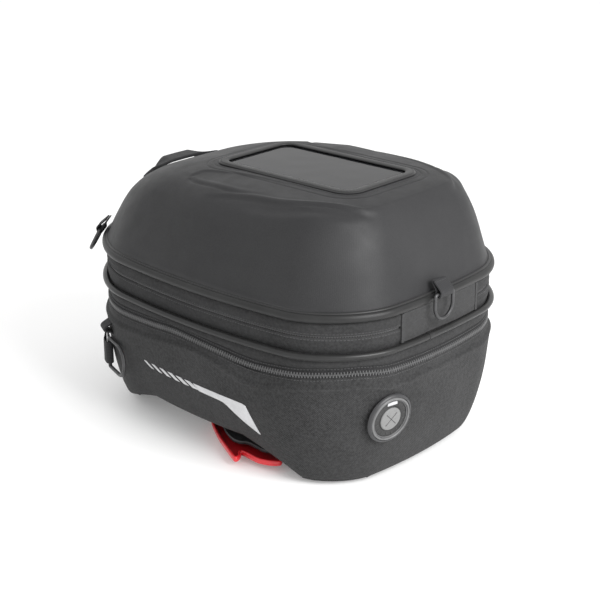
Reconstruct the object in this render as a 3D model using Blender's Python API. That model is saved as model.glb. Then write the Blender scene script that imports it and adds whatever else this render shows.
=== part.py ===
"""Expandable motorcycle tank bag with a clear-topped lid and a quick-release tank lock.

Frame: metres, +X towards the rider's end with the cable port and the lid's fabric hinge,
+Y towards the bag's left side seen from the rider's end, +Z up.
The origin is on the ground under the middle of the bag.
"""

import math

import bmesh
import bpy
from mathutils import Matrix, Vector
from mathutils.bvhtree import BVHTree

# ---------------------------------------------------------------- driving dimensions
HALF_LENGTH = 0.166  # plan outline of the fabric walls, before the ends bow out
HALF_WIDTH = 0.110
REAR_RADIUS = 0.054
FRONT_RADIUS = 0.078
SIDE_BOW = 0.020  # how far each long side bulges
END_BOW = 0.011  # how far each end bulges
TAPER = 0.05  # the rider's end is this much wider, the front this much narrower

ARC_STEPS = 7  # outline points per corner
SIDE_STEPS = 6
REAR_STEPS = 4
FRONT_STEPS = 2

GAP = 0.0003  # clearance between pieces that touch
WALL = 0.003  # thermoformed shell
FABRIC = 0.0022  # laminated fabric wall

EXPANSION_ZIP_Z = 0.108
PIPING_Z = 0.127
MAIN_ZIP_Z = 0.1435
TRIM_Z = 0.160
PIPING_RADIUS = 0.0028
TRIM_RADII = (0.0030, 0.0036)  # out of the wall, and up
TRIM_OFFSET = 0.0022  # trim's middle, out of the wall
PANEL_SPLIT = 0.0002  # half the gap between two walls that meet at a zip
CHAIN_HEIGHT = 0.0036  # one row of teeth with its tape edge
CHAIN_OUTSIDE = (0.0003, 0.0021)  # the expansion zip lies on the wall
CHAIN_INSIDE = (-0.0045, -0.0025)  # the main zip lies behind it
GUSSET_Z = (0.095, 0.123)  # folded fabric that the expansion zip lets out

# lower shell: (distance outside the plan outline, height), from the zip down to the floor
LOWER_PROFILE = [
    (0.0000, 0.1078),
    (0.0000, 0.1036),
    (0.0026, 0.0965),
    (0.0042, 0.0915),
    (0.0028, 0.0770),
    (0.0000, 0.0560),
    (-0.0038, 0.0370),
    (-0.0085, 0.0200),
    (-0.0132, 0.0085),
    (-0.0172, 0.0045),
    (-0.0240, 0.0033),
]
FLOOR_SHARES = [0.65, 0.30, 0.0]  # floor rings between the wall (1) and the flat round the lock (0)
FLOOR_FLAT_RADIUS = 0.0525

# the underside arches over the tank between its two ends
ARCH_HEIGHT = 0.0245
ARCH_X = -0.005
ARCH_HALF_SPAN = 0.120
ARCH_FLAT_HALF = 0.058
ARCH_FADE_Z = 0.075  # the arch has died out of the side walls at this height

# lid: (share of the way from the rim to the window, height)
LID_PROFILE = [
    (0.000, 0.1648),
    (0.035, 0.1775),
    (0.085, 0.1920),
    (0.150, 0.2080),
    (0.225, 0.2210),
    (0.335, 0.2320),
    (0.500, 0.2395),
    (0.750, 0.2425),
    (1.000, 0.2435),
]
FRONT_DROP = 0.015  # how far the lid falls away towards the front
FRONT_DROP_X = -0.140  # the fall is complete here
REAR_LEAN = 0.011  # how far the lower part of the lid's rider's end is drawn down and in
REAR_LEAN_X = 0.140
WINDOW_X = 0.036
WINDOW_HALF = (0.077, 0.046)
WINDOW_RADIUS = 0.014
FRAME_LIP = 0.0045
POCKET_DEPTH = 0.0155
POCKET_WALL = 0.0015

HINGE_HALF_WIDTH = 0.052  # fabric hinge panel at the rider's end
HINGE_X = 0.1785  # axis that the lid turns about
HANDLE_X = -0.137
HANDLE_HALF_SPAN = 0.042
HANDLE_WIDTH = 0.016
HANDLE_THICKNESS = 0.003
HANDLE_CLEARANCE = 0.0020  # between the level part and the lid behind it
HANDLE_LEVEL = 0.45  # share of the half span that is level
HANDLE_SEWN = 0.82  # and beyond this share it lies on the lid
SEWN_GAP = 0.0016

PORT_Y = -0.0650
PORT_Z = 0.0665
PORT_HOLE_RADIUS = 0.0160
PORT_WALL_OUT = 0.0010  # the wall at the port's height, out of the plan outline

LOCK_OUTER = 0.048
LOCK_SOCKET = 0.038
LOCK_SCREW_CIRCLE = 0.043
LOCK_COVER_Z = (0.0025, 0.0055)
LEVER_Z = (0.0060, 0.0110)
LOCK_BODY_Z = (0.0115, 0.0275)
LOCK_ROOF = 0.004
BACKING_THICKNESS = 0.002
SCREW_RADIUS = 0.0022
SCREW_HOLE = 0.0026
SCREW_HEAD = (0.0042, 0.0018)  # radius, height

PAD_THICKNESS = 0.003
PAD_INSET = 0.0210

# D-rings: clear width of the straight bar, drop below it, wire radius
SMALL_RING = (0.0205, 0.0225, 0.0015)
LARGE_RING = (0.0255, 0.0370, 0.0018)
TAB_THICKNESS = 0.0014
CORNER_CURVE = 0.170  # radius of the wall round the front corners
TAB_BACK_OUT = 0.0016  # middle of the layer that lies on the bag, out of the plan outline

ROUND_SIDES = 32


# ---------------------------------------------------------------- materials
def principled(name, colour, roughness, metallic=0.0, alpha=1.0):
    material = bpy.data.materials.new(name)
    material.use_nodes = True
    shader = material.node_tree.nodes["Principled BSDF"]
    shader.inputs["Base Color"].default_value = (*colour, 1.0)
    shader.inputs["Roughness"].default_value = roughness
    shader.inputs["Metallic"].default_value = metallic
    shader.inputs["Alpha"].default_value = alpha
    material.diffuse_color = (*colour, alpha)
    return material


def build_materials():
    return {
        "lid_skin": principled("lid_skin", (0.060, 0.060, 0.062), 0.55),
        "textile": principled("textile", (0.045, 0.045, 0.047), 0.85),
        "webbing": principled("webbing", (0.030, 0.030, 0.032), 0.80),
        "trim": principled("trim", (0.080, 0.080, 0.083), 0.50),
        "zip": principled("zip", (0.050, 0.050, 0.052), 0.45),
        "black_plastic": principled("black_plastic", (0.025, 0.025, 0.027), 0.45),
        "rubber": principled("rubber", (0.020, 0.020, 0.020), 0.75),
        "red_plastic": principled("red_plastic", (0.520, 0.010, 0.018), 0.35),
        "steel": principled("steel", (0.550, 0.550, 0.560), 0.30, metallic=1.0),
        "dark_metal": principled("dark_metal", (0.120, 0.120, 0.125), 0.35, metallic=0.9),
        "silver_ring": principled("silver_ring", (0.500, 0.500, 0.510), 0.30, metallic=0.8),
        "reflective": principled("reflective", (0.600, 0.600, 0.620), 0.35, metallic=0.3),
        "clear_film": principled("clear_film", (0.020, 0.020, 0.024), 0.08, alpha=0.35),
        "foam_board": principled("foam_board", (0.090, 0.090, 0.095), 0.80),
        "mesh_net": principled("mesh_net", (0.035, 0.035, 0.037), 0.85),
    }


# ---------------------------------------------------------------- plan outline
def rounded_outline(half_x, half_y, rear, front, side_bow=0.0, end_bow=0.0, taper=0.0, centre=0.0):
    """Points round a rounded rectangle, anticlockwise from the rider's end's left corner."""
    corners = [(1, 1, rear), (-1, 1, front), (-1, -1, front), (1, -1, rear)]
    straight_steps = [SIDE_STEPS, FRONT_STEPS, SIDE_STEPS, REAR_STEPS]
    flat = []
    for quarter, (sx, sy, radius) in enumerate(corners):
        middle = Vector((sx * (half_x - radius), sy * (half_y - radius)))
        for step in range(ARC_STEPS + 1):
            angle = math.pi / 2 * (quarter + step / ARC_STEPS)
            flat.append(middle + radius * Vector((math.cos(angle), math.sin(angle))))
        next_sx, next_sy, next_radius = corners[(quarter + 1) % 4]
        next_middle = Vector((next_sx * (half_x - next_radius), next_sy * (half_y - next_radius)))
        angle = math.pi / 2 * (quarter + 1)
        target = next_middle + next_radius * Vector((math.cos(angle), math.sin(angle)))
        start = flat[-1]
        for step in range(1, straight_steps[quarter]):
            flat.append(start.lerp(target, step / straight_steps[quarter]))
    points = []
    for x, y in flat:
        across = max(-1.0, min(1.0, y / half_y))
        along = max(-1.0, min(1.0, x / half_x))
        bowed_y = y + side_bow * (1 - along * along) * across
        bowed_x = x + end_bow * (1 - across * across) * along
        points.append((bowed_x + centre, bowed_y * (1 + taper * along)))
    return points


def bag_outline(offset):
    return rounded_outline(
        HALF_LENGTH + offset, HALF_WIDTH + offset, REAR_RADIUS + offset, FRONT_RADIUS + offset,
        SIDE_BOW, END_BOW, TAPER,
    )


def window_outline(grow=0.0):
    radius = WINDOW_RADIUS + grow
    return rounded_outline(
        WINDOW_HALF[0] + grow, WINDOW_HALF[1] + grow, radius, radius, centre=WINDOW_X
    )


def end_wall_point(y, end, offset):
    """Point and outward normal of the outline at a given y, on the rider's (+1) or front (-1) end."""
    points = [p for p in bag_outline(offset)]
    for a, b in zip(points, points[1:] + points[:1]):
        if a[0] * end > 0 and b[0] * end > 0 and min(a[1], b[1]) <= y <= max(a[1], b[1]):
            share = (y - a[1]) / (b[1] - a[1])
            x = a[0] + share * (b[0] - a[0])
            along = Vector((b[0] - a[0], b[1] - a[1], 0)).normalized()
            return Vector((x, y, 0)), Vector((along.y, -along.x, 0))
    raise ValueError("no wall at this y")


def arch(x):
    away = (x - ARCH_X) / ARCH_HALF_SPAN
    flat = 1 - (ARCH_FLAT_HALF / ARCH_HALF_SPAN) ** 2
    return ARCH_HEIGHT * max(0.0, min(1.0, (1 - away * away) / flat))


# ---------------------------------------------------------------- mesh helpers
def new_object(name, bm, material, smooth=True):
    bmesh.ops.recalc_face_normals(bm, faces=bm.faces)
    mesh = bpy.data.meshes.new(name)
    bm.to_mesh(mesh)
    bm.free()
    if smooth:
        mesh.shade_smooth()
        mesh.set_sharp_from_angle(angle=math.radians(40))
    obj = bpy.data.objects.new(name, mesh)
    obj.data.materials.append(material)
    bpy.context.collection.objects.link(obj)
    return obj


def loft(name, rings, material, joined=False):
    """Skin between rings of points; joined closes last to first, otherwise both ends are capped."""
    bm = bmesh.new()
    rows = [[bm.verts.new(p) for p in ring] for ring in rings]
    count = len(rows[0])
    pairs = list(zip(rows, rows[1:]))
    if joined:
        pairs.append((rows[-1], rows[0]))
    for lower, upper in pairs:
        for k in range(count):
            n = (k + 1) % count
            bm.faces.new((lower[k], lower[n], upper[n], upper[k]))
    if not joined:
        bm.faces.new(list(reversed(rows[0])))
        bm.faces.new(rows[-1])
    return new_object(name, bm, material)


def band(name, profile, material):
    """Ring that runs round the bag; profile is a closed polygon of (offset, height)."""
    rings = [[(x, y, z) for x, y in bag_outline(offset)] for offset, z in profile]
    return loft(name, rings, material, joined=True)


def part_band(name, profile, material, keep, extra=0, trim=0.0):
    """Stretch of such a ring: the outline's points that keep(x, y) accepts, and extra at each end."""
    plan = [bag_outline(offset) for offset, _ in profile]
    count = len(plan[0])
    base = bag_outline(0.0)
    kept = [k for k in range(count) if keep(*base[k])]
    first = next(k for k in kept if (k - 1) % count not in kept)
    order = [(first + step) % count for step in range(-extra, len(kept) + extra)]
    stations = [
        [Vector((*plan[row][k], z)) for row, (_, z) in enumerate(profile)] for k in order
    ]
    for end, neighbour in ((0, 1), (-1, -2)):
        along = (stations[neighbour][0] - stations[end][0]).normalized()
        stations[end] = [p + along * trim for p in stations[end]]
    return loft(name, stations, material)


def circle_profile(offset, z, radius_across, radius_up, sides=8):
    angles = [2 * math.pi * (k + 0.5) / sides for k in range(sides)]
    return [(offset + radius_across * math.cos(a), z + radius_up * math.sin(a)) for a in angles]


def prism(name, outline, low, high, material, smooth=False):
    rings = [[(x, y, z) for x, y in outline] for z in (low, high)]
    obj = loft(name, rings, material)
    if not smooth:
        obj.data.shade_flat()
    return obj


def circle(radius, centre=(0.0, 0.0), sides=ROUND_SIDES):
    step = 2 * math.pi / sides
    return [
        (centre[0] + radius * math.cos(k * step), centre[1] + radius * math.sin(k * step))
        for k in range(sides)
    ]


def turned(name, profile, material, sides=ROUND_SIDES):
    """Ring turned about local Z; profile is a closed polygon of (radius, height)."""
    rings = [[(x, y, z) for x, y in circle(r, sides=sides)] for r, z in profile]
    return loft(name, rings, material, joined=True)


def cut(obj, cutter):
    cutter.hide_render = True
    cutter.display_type = "WIRE"
    modifier = obj.modifiers.new("cut_" + cutter.name, "BOOLEAN")
    modifier.operation = "DIFFERENCE"
    modifier.solver = "EXACT"
    modifier.object = cutter


def hole_cutter(name, radius, centre, low, high, sides=16):
    return prism(name, circle(radius, centre, sides), low, high, None)


def surface_tree(obj):
    bm = bmesh.new()
    bm.from_mesh(obj.data)
    tree = BVHTree.FromBMesh(bm)
    bm.free()
    return tree


def ribbon(name, path, thickness, width, material):
    """Strap with its middle line in the local XZ plane, running across local Y."""
    rings = []
    for k, point in enumerate(path):
        before = Vector(path[max(k - 1, 0)])
        after = Vector(path[min(k + 1, len(path) - 1)])
        along = (after - before).normalized()
        side = Vector((-along.y, along.x)) * thickness / 2
        outer = Vector(point) + side
        inner = Vector(point) - side
        rings.append([
            (outer.x, -width / 2, outer.y), (outer.x, width / 2, outer.y),
            (inner.x, width / 2, inner.y), (inner.x, -width / 2, inner.y),
        ])
    return loft(name, rings, material)


# ---------------------------------------------------------------- lower shell and what it carries
def lower_ring(offset, z):
    fade = max(0.0, 1 - z / ARCH_FADE_Z)
    return [(x, y, z + arch(x) * fade) for x, y in bag_outline(offset)]


def floor_ring(share, offset, z):
    """Ring of the floor, blended from a circle round the tank lock out to the wall."""
    ring = []
    for x, y in bag_outline(offset):
        inner = Vector((x, y)).normalized() * FLOOR_FLAT_RADIUS
        point = inner.lerp(Vector((x, y)), share)
        ring.append((point.x, point.y, z + arch(point.x)))
    return ring


def build_lower_shell(materials):
    outer = [lower_ring(offset, z) for offset, z in LOWER_PROFILE]
    inner = [lower_ring(offset - WALL, max(z, LOWER_PROFILE[-1][1] + WALL)) for offset, z in LOWER_PROFILE]
    edge_offset, edge_z = LOWER_PROFILE[-1]
    bottom = [floor_ring(share, edge_offset, edge_z) for share in FLOOR_SHARES]
    top = [floor_ring(share, edge_offset - WALL, edge_z + WALL) for share in FLOOR_SHARES]
    # the inside skips the profile's last rings, which the floor's thickness takes up
    rings = list(reversed(top)) + list(reversed(inner[:-3] + inner[-1:])) + outer + bottom
    shell = loft("lower_shell", rings, materials["textile"])
    port_cutter = hole_cutter("port_cutter", PORT_HOLE_RADIUS + 0.0004, (0, 0), -0.012, 0.012, 24)
    port_cutter.matrix_world = port_matrix()
    cut(shell, port_cutter)
    for k, centre in enumerate(screw_places()):
        low = LOCK_BODY_Z[1] - 0.006
        cut(shell, hole_cutter(f"floor_screw_cutter_{k + 1}", SCREW_HOLE, centre, low, low + 0.02, 12))
    return shell


def port_matrix():
    """Frame on the wall at the cable port: local Z points out of the wall."""
    place, normal = end_wall_point(PORT_Y, 1, PORT_WALL_OUT)
    lean = math.radians(8)
    out = (normal * math.cos(lean) - Vector((0, 0, 1)) * math.sin(lean)).normalized()
    across = Vector((0, 0, 1)).cross(out).normalized()
    up = out.cross(across)
    matrix = Matrix((across, up, out)).transposed().to_4x4()
    matrix.translation = Vector((place.x, place.y, PORT_Z))
    return matrix


def build_cable_port(materials):
    """Rubber membrane with crossed slits, held in the wall between a bezel and a metal ring."""
    stand_off = 0.0020
    bezel = turned("port_bezel", [
        (0.0228, stand_off), (0.0228, stand_off + 0.0014), (0.0208, stand_off + 0.0026),
        (0.0204, stand_off + 0.0026), (0.0204, stand_off),
    ], materials["black_plastic"])
    ring = turned("port_ring", [
        (0.0201, stand_off), (0.0201, stand_off + 0.0026), (0.0192, stand_off + 0.0034),
        (0.0178, stand_off + 0.0034), (0.0170, stand_off + 0.0026), (0.0170, stand_off),
    ], materials["silver_ring"])
    plug = PORT_HOLE_RADIUS
    face = stand_off + 0.0016
    grommet = loft("port_grommet", [
        [(x, y, z) for x, y in circle(r)] for r, z in (
            (plug - 0.002, -0.0070), (plug, -0.0070), (plug, stand_off), (0.0167, stand_off),
            (0.0167, face), (0.0105, face + 0.0004), (0.0100, face + 0.0012),
            (0.0040, face + 0.0014),
        )
    ], materials["rubber"])
    hollow = hole_cutter("port_hollow_cutter", plug - 0.002, (0, 0), -0.012, stand_off - 0.0008, 24)
    cut(grommet, hollow)
    for k, angle in enumerate((45, 135)):
        slit = prism(f"port_slit_cutter_{k + 1}", [
            (-0.0070, -0.0004), (0.0070, -0.0004), (0.0070, 0.0004), (-0.0070, 0.0004),
        ], -0.010, 0.010, None)
        slit.matrix_world = port_matrix() @ Matrix.Rotation(math.radians(angle), 4, "Z")
        cut(grommet, slit)
    for piece in (bezel, ring, grommet, hollow):
        piece.matrix_world = port_matrix()


def screw_places():
    return [
        (LOCK_SCREW_CIRCLE * math.cos(a), LOCK_SCREW_CIRCLE * math.sin(a))
        for a in (math.radians(45 + 90 * k) for k in range(4))
    ]


def build_tank_lock(materials):
    low, high = LOCK_BODY_Z
    body = turned("lock_body", [
        (LOCK_OUTER, low), (LOCK_OUTER, high), (0.012, high), (0.012, high - LOCK_ROOF),
        (LOCK_SOCKET, high - LOCK_ROOF), (LOCK_SOCKET, low),
    ], materials["black_plastic"])
    cover_low, cover_high = LOCK_COVER_Z
    turned("lock_cover", [
        (LOCK_OUTER, cover_low + 0.001), (LOCK_OUTER, cover_high), (LOCK_SOCKET, cover_high),
        (LOCK_SOCKET, cover_low), (LOCK_OUTER - 0.001, cover_low),
    ], materials["black_plastic"])
    floor_top = LOWER_PROFILE[-1][1] + ARCH_HEIGHT + WALL
    plate_low = floor_top + GAP
    plate = turned("lock_backing_plate", [
        (LOCK_OUTER, plate_low), (LOCK_OUTER, plate_low + BACKING_THICKNESS),
        (0.030, plate_low + BACKING_THICKNESS), (0.030, plate_low),
    ], materials["steel"])
    head_low = plate_low + BACKING_THICKNESS + GAP
    head_radius, head_height = SCREW_HEAD
    shank_end = low + 0.005
    for k, centre in enumerate(screw_places()):
        cut(body, hole_cutter(f"body_screw_cutter_{k + 1}", SCREW_HOLE, centre, low + 0.004, high + 0.002, 12))
        cut(plate, hole_cutter(f"plate_screw_cutter_{k + 1}", SCREW_HOLE, centre, plate_low - 0.002,
                               plate_low + 0.006, 12))
        profile = [
            (SCREW_RADIUS, shank_end), (SCREW_RADIUS, head_low), (head_radius, head_low),
            (head_radius, head_low + head_height * 0.6), (head_radius * 0.8, head_low + head_height),
        ]
        rings = [[(x, y, z) for x, y in circle(r, centre, 12)] for r, z in profile]
        loft(f"lock_screw_{k + 1}", rings, materials["steel"])
        prism(f"lock_spacer_{k + 1}", circle(0.0035, centre, 12), cover_high + GAP, low - GAP,
              materials["black_plastic"])


def build_release_lever(materials):
    """Red pull lever with a finger notch; it draws the latch bar out of the socket."""
    outline = [
        (0.014, -0.0425), (-0.014, -0.0425), (-0.014, -0.0583), (-0.024, -0.0583),
        (-0.0215, -0.0760), (-0.014, -0.0870), (0.012, -0.1045), (0.033, -0.1160),
        (0.050, -0.1248), (0.0545, -0.1240), (0.0530, -0.1180), (0.0490, -0.1130),
        (0.058, -0.1132), (0.070, -0.1140), (0.081, -0.1105), (0.0880, -0.1040),
        (0.0850, -0.0985), (0.040, -0.0830), (0.024, -0.0583), (0.014, -0.0583),
    ]
    prism("release_lever", outline, *LEVER_Z, materials["red_plastic"])
    latch = [(-0.0155, -0.0422), (0.0155, -0.0422), (0.0155, -0.0345), (0.012, -0.0325),
             (-0.012, -0.0325), (-0.0155, -0.0345)]
    prism("latch_bar", latch, LEVER_Z[0] + 0.0008, LEVER_Z[1] - 0.0008, materials["steel"])


def build_return_springs(materials):
    turns, points_per_turn = 6, 8
    coil_radius, wire_radius = 0.0019, 0.00035
    start, end = -0.0576, -0.0494
    for name, x in (("return_spring_left", 0.0192), ("return_spring_right", -0.0192)):
        curve = bpy.data.curves.new(name, "CURVE")
        curve.dimensions = "3D"
        curve.bevel_depth = wire_radius
        curve.bevel_resolution = 1
        curve.use_fill_caps = True
        spline = curve.splines.new("POLY")
        count = turns * points_per_turn
        spline.points.add(count)
        for k, point in enumerate(spline.points):
            angle = 2 * math.pi * k / points_per_turn
            y = start + (end - start) * k / count
            middle = (LEVER_Z[0] + LEVER_Z[1]) / 2
            point.co = (x + coil_radius * math.cos(angle), y, middle + coil_radius * math.sin(angle), 1)
        obj = bpy.data.objects.new(name, curve)
        obj.data.materials.append(materials["steel"])
        bpy.context.collection.objects.link(obj)


def build_base_pads(materials):
    """Rubber feet under the two ends, where the bag bears on the tank or the ground."""
    plan = bag_outline(-PAD_INSET)
    for name, end, start in (("base_pad_rear", 1, 0.112), ("base_pad_front", -1, 0.124)):
        kept = [(x, y) for x, y in plan if x * end > start]
        kept.sort(key=lambda p: p[1])
        edge_y = abs(kept[0][1])
        outline = [(end * (start - 0.002), -edge_y), *kept, (end * (start - 0.002), edge_y)]
        prism(name, outline, 0.0, PAD_THICKNESS, materials["rubber"])


def build_floor_board(materials):
    low = 0.0362
    prism("floor_board", bag_outline(-0.0215), low, low + 0.0025, materials["foam_board"])


def build_reflective_strips(materials, shell):
    """Blade-shaped strip low on each long side: (along the bag, lower edge, upper edge)."""
    stations = [
        (0.010, 0.0655, 0.0692), (0.024, 0.0645, 0.0687), (0.040, 0.0630, 0.0680),
        (0.050, 0.0595, 0.0675), (0.060, 0.0530, 0.0670), (0.069, 0.0475, 0.0655),
        (0.078, 0.0435, 0.0545),
    ]
    tree = surface_tree(shell)
    for name, side in (("reflective_strip_right", -1), ("reflective_strip_left", 1)):
        rings = []
        for x, low, high in stations:
            middle = (low + high) / 2
            points = []
            for lift in (0.0005, 0.0010):
                heights = (low, middle, high) if lift < 0.0008 else (high, middle, low)
                for z in heights:
                    hit = tree.ray_cast(Vector((x, side * 0.2, z)), Vector((0, -side, 0)))[0]
                    points.append((x, hit.y + side * lift, z))
            rings.append(points)
        loft(name, rings, materials["reflective"])


# ---------------------------------------------------------------- collar: the part that rises
def rect_profile(inner, outer, low, high):
    return [(inner, low), (outer, low), (outer, high), (inner, high)]


def upper_wall_profile():
    """Fabric wall above the main zip, stepped in behind the trim."""
    low = MAIN_ZIP_Z + PANEL_SPLIT
    step = TRIM_Z - TRIM_RADII[1] - 0.0006
    top = LID_PROFILE[0][1] - GAP
    behind = TRIM_OFFSET - TRIM_RADII[0] - GAP
    return [
        (-FABRIC, low), (0.0, low), (0.0, step - 0.0006), (behind, step), (behind, top),
        (behind - FABRIC, top), (behind - FABRIC, step - 0.0006), (-FABRIC, step - 0.0030),
    ]


def ahead_of_hinge(x, y):
    return x < 0 or abs(y) > HINGE_HALF_WIDTH - 0.002


def build_collar(materials):
    zip_z = EXPANSION_ZIP_Z
    band("expansion_zip_lower_chain", rect_profile(*CHAIN_OUTSIDE, zip_z - CHAIN_HEIGHT, zip_z - PANEL_SPLIT),
         materials["zip"])
    band("expansion_zip_upper_chain", rect_profile(*CHAIN_OUTSIDE, zip_z + PANEL_SPLIT, zip_z + CHAIN_HEIGHT),
         materials["zip"])
    band("expansion_gusset", rect_profile(-0.0064, -0.0052, *GUSSET_Z), materials["textile"])
    band("collar_band", rect_profile(-FABRIC, 0.0, zip_z + PANEL_SPLIT, MAIN_ZIP_Z - PANEL_SPLIT),
         materials["textile"])
    band("lower_piping", circle_profile(PIPING_RADIUS + GAP, PIPING_Z, PIPING_RADIUS, PIPING_RADIUS),
         materials["trim"])
    part_band("main_zip_lower_chain", rect_profile(*CHAIN_INSIDE, MAIN_ZIP_Z - CHAIN_HEIGHT,
                                                   MAIN_ZIP_Z - PANEL_SPLIT), materials["zip"], ahead_of_hinge)
    part_band("hinge_panel", upper_wall_profile(), materials["textile"],
              lambda x, y: not ahead_of_hinge(x, y), extra=1, trim=GAP)


# ---------------------------------------------------------------- lid
def lid_fall(x, share):
    """How far the lid lies below its profile towards either end."""
    front = max(0.0, min(1.0, x / FRONT_DROP_X))
    rear = max(0.0, min(1.0, x / REAR_LEAN_X))
    front_fall = FRONT_DROP * front * math.sin(math.pi * share ** 0.7)
    return front_fall + REAR_LEAN * rear * math.sin(math.pi * min(1.0, 2 * share) ** 0.55)


def lid_ring(share, z, inset=0.0):
    """Ring of the lid, blended from the rim out at the trim to the window's edge."""
    ring = []
    for rim, edge in zip(bag_outline(-inset), window_outline()):
        point = Vector(rim).lerp(Vector(edge), share)
        ring.append((point.x, point.y, z - lid_fall(point.x, share)))
    return ring


def build_lid_shell(materials):
    outer = [lid_ring(share, z) for share, z in LID_PROFILE]
    inner = []
    for share, z in LID_PROFILE:
        drop = WALL * min(1.0, share / 0.12)
        inner.append(lid_ring(share, z - drop, WALL * (1 - share)))
    return loft("lid_shell", outer + list(reversed(inner)), materials["lid_skin"], joined=True)


def build_lid_edge(materials):
    band("lid_trim", circle_profile(TRIM_OFFSET, TRIM_Z, *TRIM_RADII), materials["trim"])
    part_band("lid_band", upper_wall_profile(), materials["textile"], ahead_of_hinge)
    part_band("main_zip_upper_chain", rect_profile(*CHAIN_INSIDE, MAIN_ZIP_Z + PANEL_SPLIT,
                                                   MAIN_ZIP_Z + CHAIN_HEIGHT), materials["zip"], ahead_of_hinge)


def plate_with_hole(name, outer, inner, low, high, material):
    rings = [
        [(x, y, z) for x, y in plan]
        for plan, z in ((outer, low), (outer, high), (inner, high), (inner, low))
    ]
    return loft(name, rings, material, joined=True)


def build_window(materials):
    top = LID_PROFILE[-1][1]
    plate_with_hole("window_frame", window_outline(FRAME_LIP), window_outline(-FRAME_LIP),
                    top + GAP, top + 0.0018, materials["trim"])
    film_low = top - 0.0012
    prism("window_film", window_outline(-0.0005), film_low, top - GAP, materials["clear_film"])
    tray_high = film_low - GAP
    tray_low = tray_high - POCKET_DEPTH
    tray = prism("pocket_tray", window_outline(-0.0006), tray_low, tray_high, materials["textile"])
    cavity = window_outline(-0.0006 - POCKET_WALL)
    front = WINDOW_X - WINDOW_HALF[0] - 0.02
    half_y = WINDOW_HALF[1] - 0.0006 - POCKET_WALL
    opened = [(x, y) for x, y in cavity if x > WINDOW_X]
    opened.sort(key=lambda p: p[1])
    cutter = prism("pocket_cutter", [(front, -half_y), *opened, (front, half_y)],
                   tray_low + POCKET_WALL, tray_high + 0.005, None)
    cut(tray, cutter)


def build_lid_inside(materials):
    free_edge = 0.100
    kept = [p for p in bag_outline(-0.0130) if p[0] < free_edge - 0.001]
    first = max(range(len(kept)), key=lambda k: (kept[k][1] > 0, kept[k][0]))
    front = kept[first:] + kept[:first]
    edge_y = front[0][1]
    prism("lid_mesh_pocket", [(free_edge, edge_y), *front, (free_edge, -edge_y)], 0.1760, 0.1772,
          materials["mesh_net"])


def build_handle(materials, lid):
    """Webbing grip: sewn flat on the lid's front slope at both ends, level and clear of it between."""
    tree = surface_tree(lid)

    def lid_height(x, y):
        return tree.ray_cast(Vector((x, y, 0.4)), Vector((0, 0, -1)))[0].z

    level = lid_height(HANDLE_X + HANDLE_WIDTH / 2, 0.0) + HANDLE_CLEARANCE
    steps = 16
    rings = []
    for k in range(steps + 1):
        y = HANDLE_HALF_SPAN * (2 * k / steps - 1)
        away = abs(y) / HANDLE_HALF_SPAN
        lifted = max(0.0, min(1.0, (HANDLE_SEWN - away) / (HANDLE_SEWN - HANDLE_LEVEL)))
        lifted = lifted * lifted * (3 - 2 * lifted)
        ring = []
        for dx, up in ((-0.5, 0), (0.0, 0), (0.5, 0), (0.5, 1), (0.0, 1), (-0.5, 1)):
            x = HANDLE_X + dx * HANDLE_WIDTH
            resting = lid_height(x, y) + SEWN_GAP
            ring.append((x, y, resting + (level - resting) * lifted + up * HANDLE_THICKNESS))
        rings.append(ring)
    loft("carry_handle", rings, materials["webbing"])


# ---------------------------------------------------------------- D-rings on their tabs
def build_d_ring(name, matrix, size, material):
    """Wire ring: straight bar along local Y through the origin, bow hanging along local -Z."""
    width, drop, wire = size
    half = width / 2 + wire
    arc_centre = -(drop - half)
    route = [(-half + 0.0018, 0.0), (half - 0.0018, 0.0), (half, -0.0018), (half, arc_centre)]
    for k in range(1, 8):
        angle = math.pi * k / 8
        route.append((half * math.cos(angle), arc_centre - half * math.sin(angle)))
    route += [(-half, arc_centre), (-half, -0.0018)]
    curve = bpy.data.curves.new(name, "CURVE")
    curve.dimensions = "3D"
    curve.bevel_depth = wire
    curve.bevel_resolution = 2
    spline = curve.splines.new("POLY")
    spline.points.add(len(route) - 1)
    for point, (y, z) in zip(spline.points, route):
        point.co = (0, y, z, 1)
    spline.use_cyclic_u = True
    obj = bpy.data.objects.new(name, curve)
    obj.data.materials.append(material)
    bpy.context.collection.objects.link(obj)
    obj.matrix_world = matrix
    return obj


def build_tab(name, matrix, size, rise, stand_off, material):
    """Webbing hairpin that holds a ring's bar; local +X points away from the bag."""
    width, _, wire = size
    radius = wire + 0.0004 + TAB_THICKNESS / 2
    back = TAB_BACK_OUT - stand_off
    front = back + TAB_THICKNESS + 0.0005
    path = [(front, rise), (front * 0.6 + radius * 0.4, rise * 0.72), (radius, rise * 0.28)]
    for k in range(9):
        angle = -math.pi * k / 8
        path.append((radius * math.cos(angle), radius * math.sin(angle)))
    path += [(-radius, rise * 0.28), (back * 0.6 - radius * 0.4, rise * 0.72), (back, rise)]
    tab = ribbon(name, path, TAB_THICKNESS, width - 0.0035, material)
    tab.matrix_world = matrix
    return tab


def wall_matrix(y, end, z, stand_off):
    """Frame by an end wall: local X out of the wall, local Y along it, local Z up."""
    place, out = end_wall_point(y, end, 0.0)
    across = Vector((0, 0, 1)).cross(out).normalized()
    matrix = Matrix((out, across, Vector((0, 0, 1)))).transposed().to_4x4()
    matrix.translation = place + out * stand_off + Vector((0, 0, z))
    return matrix


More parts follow.
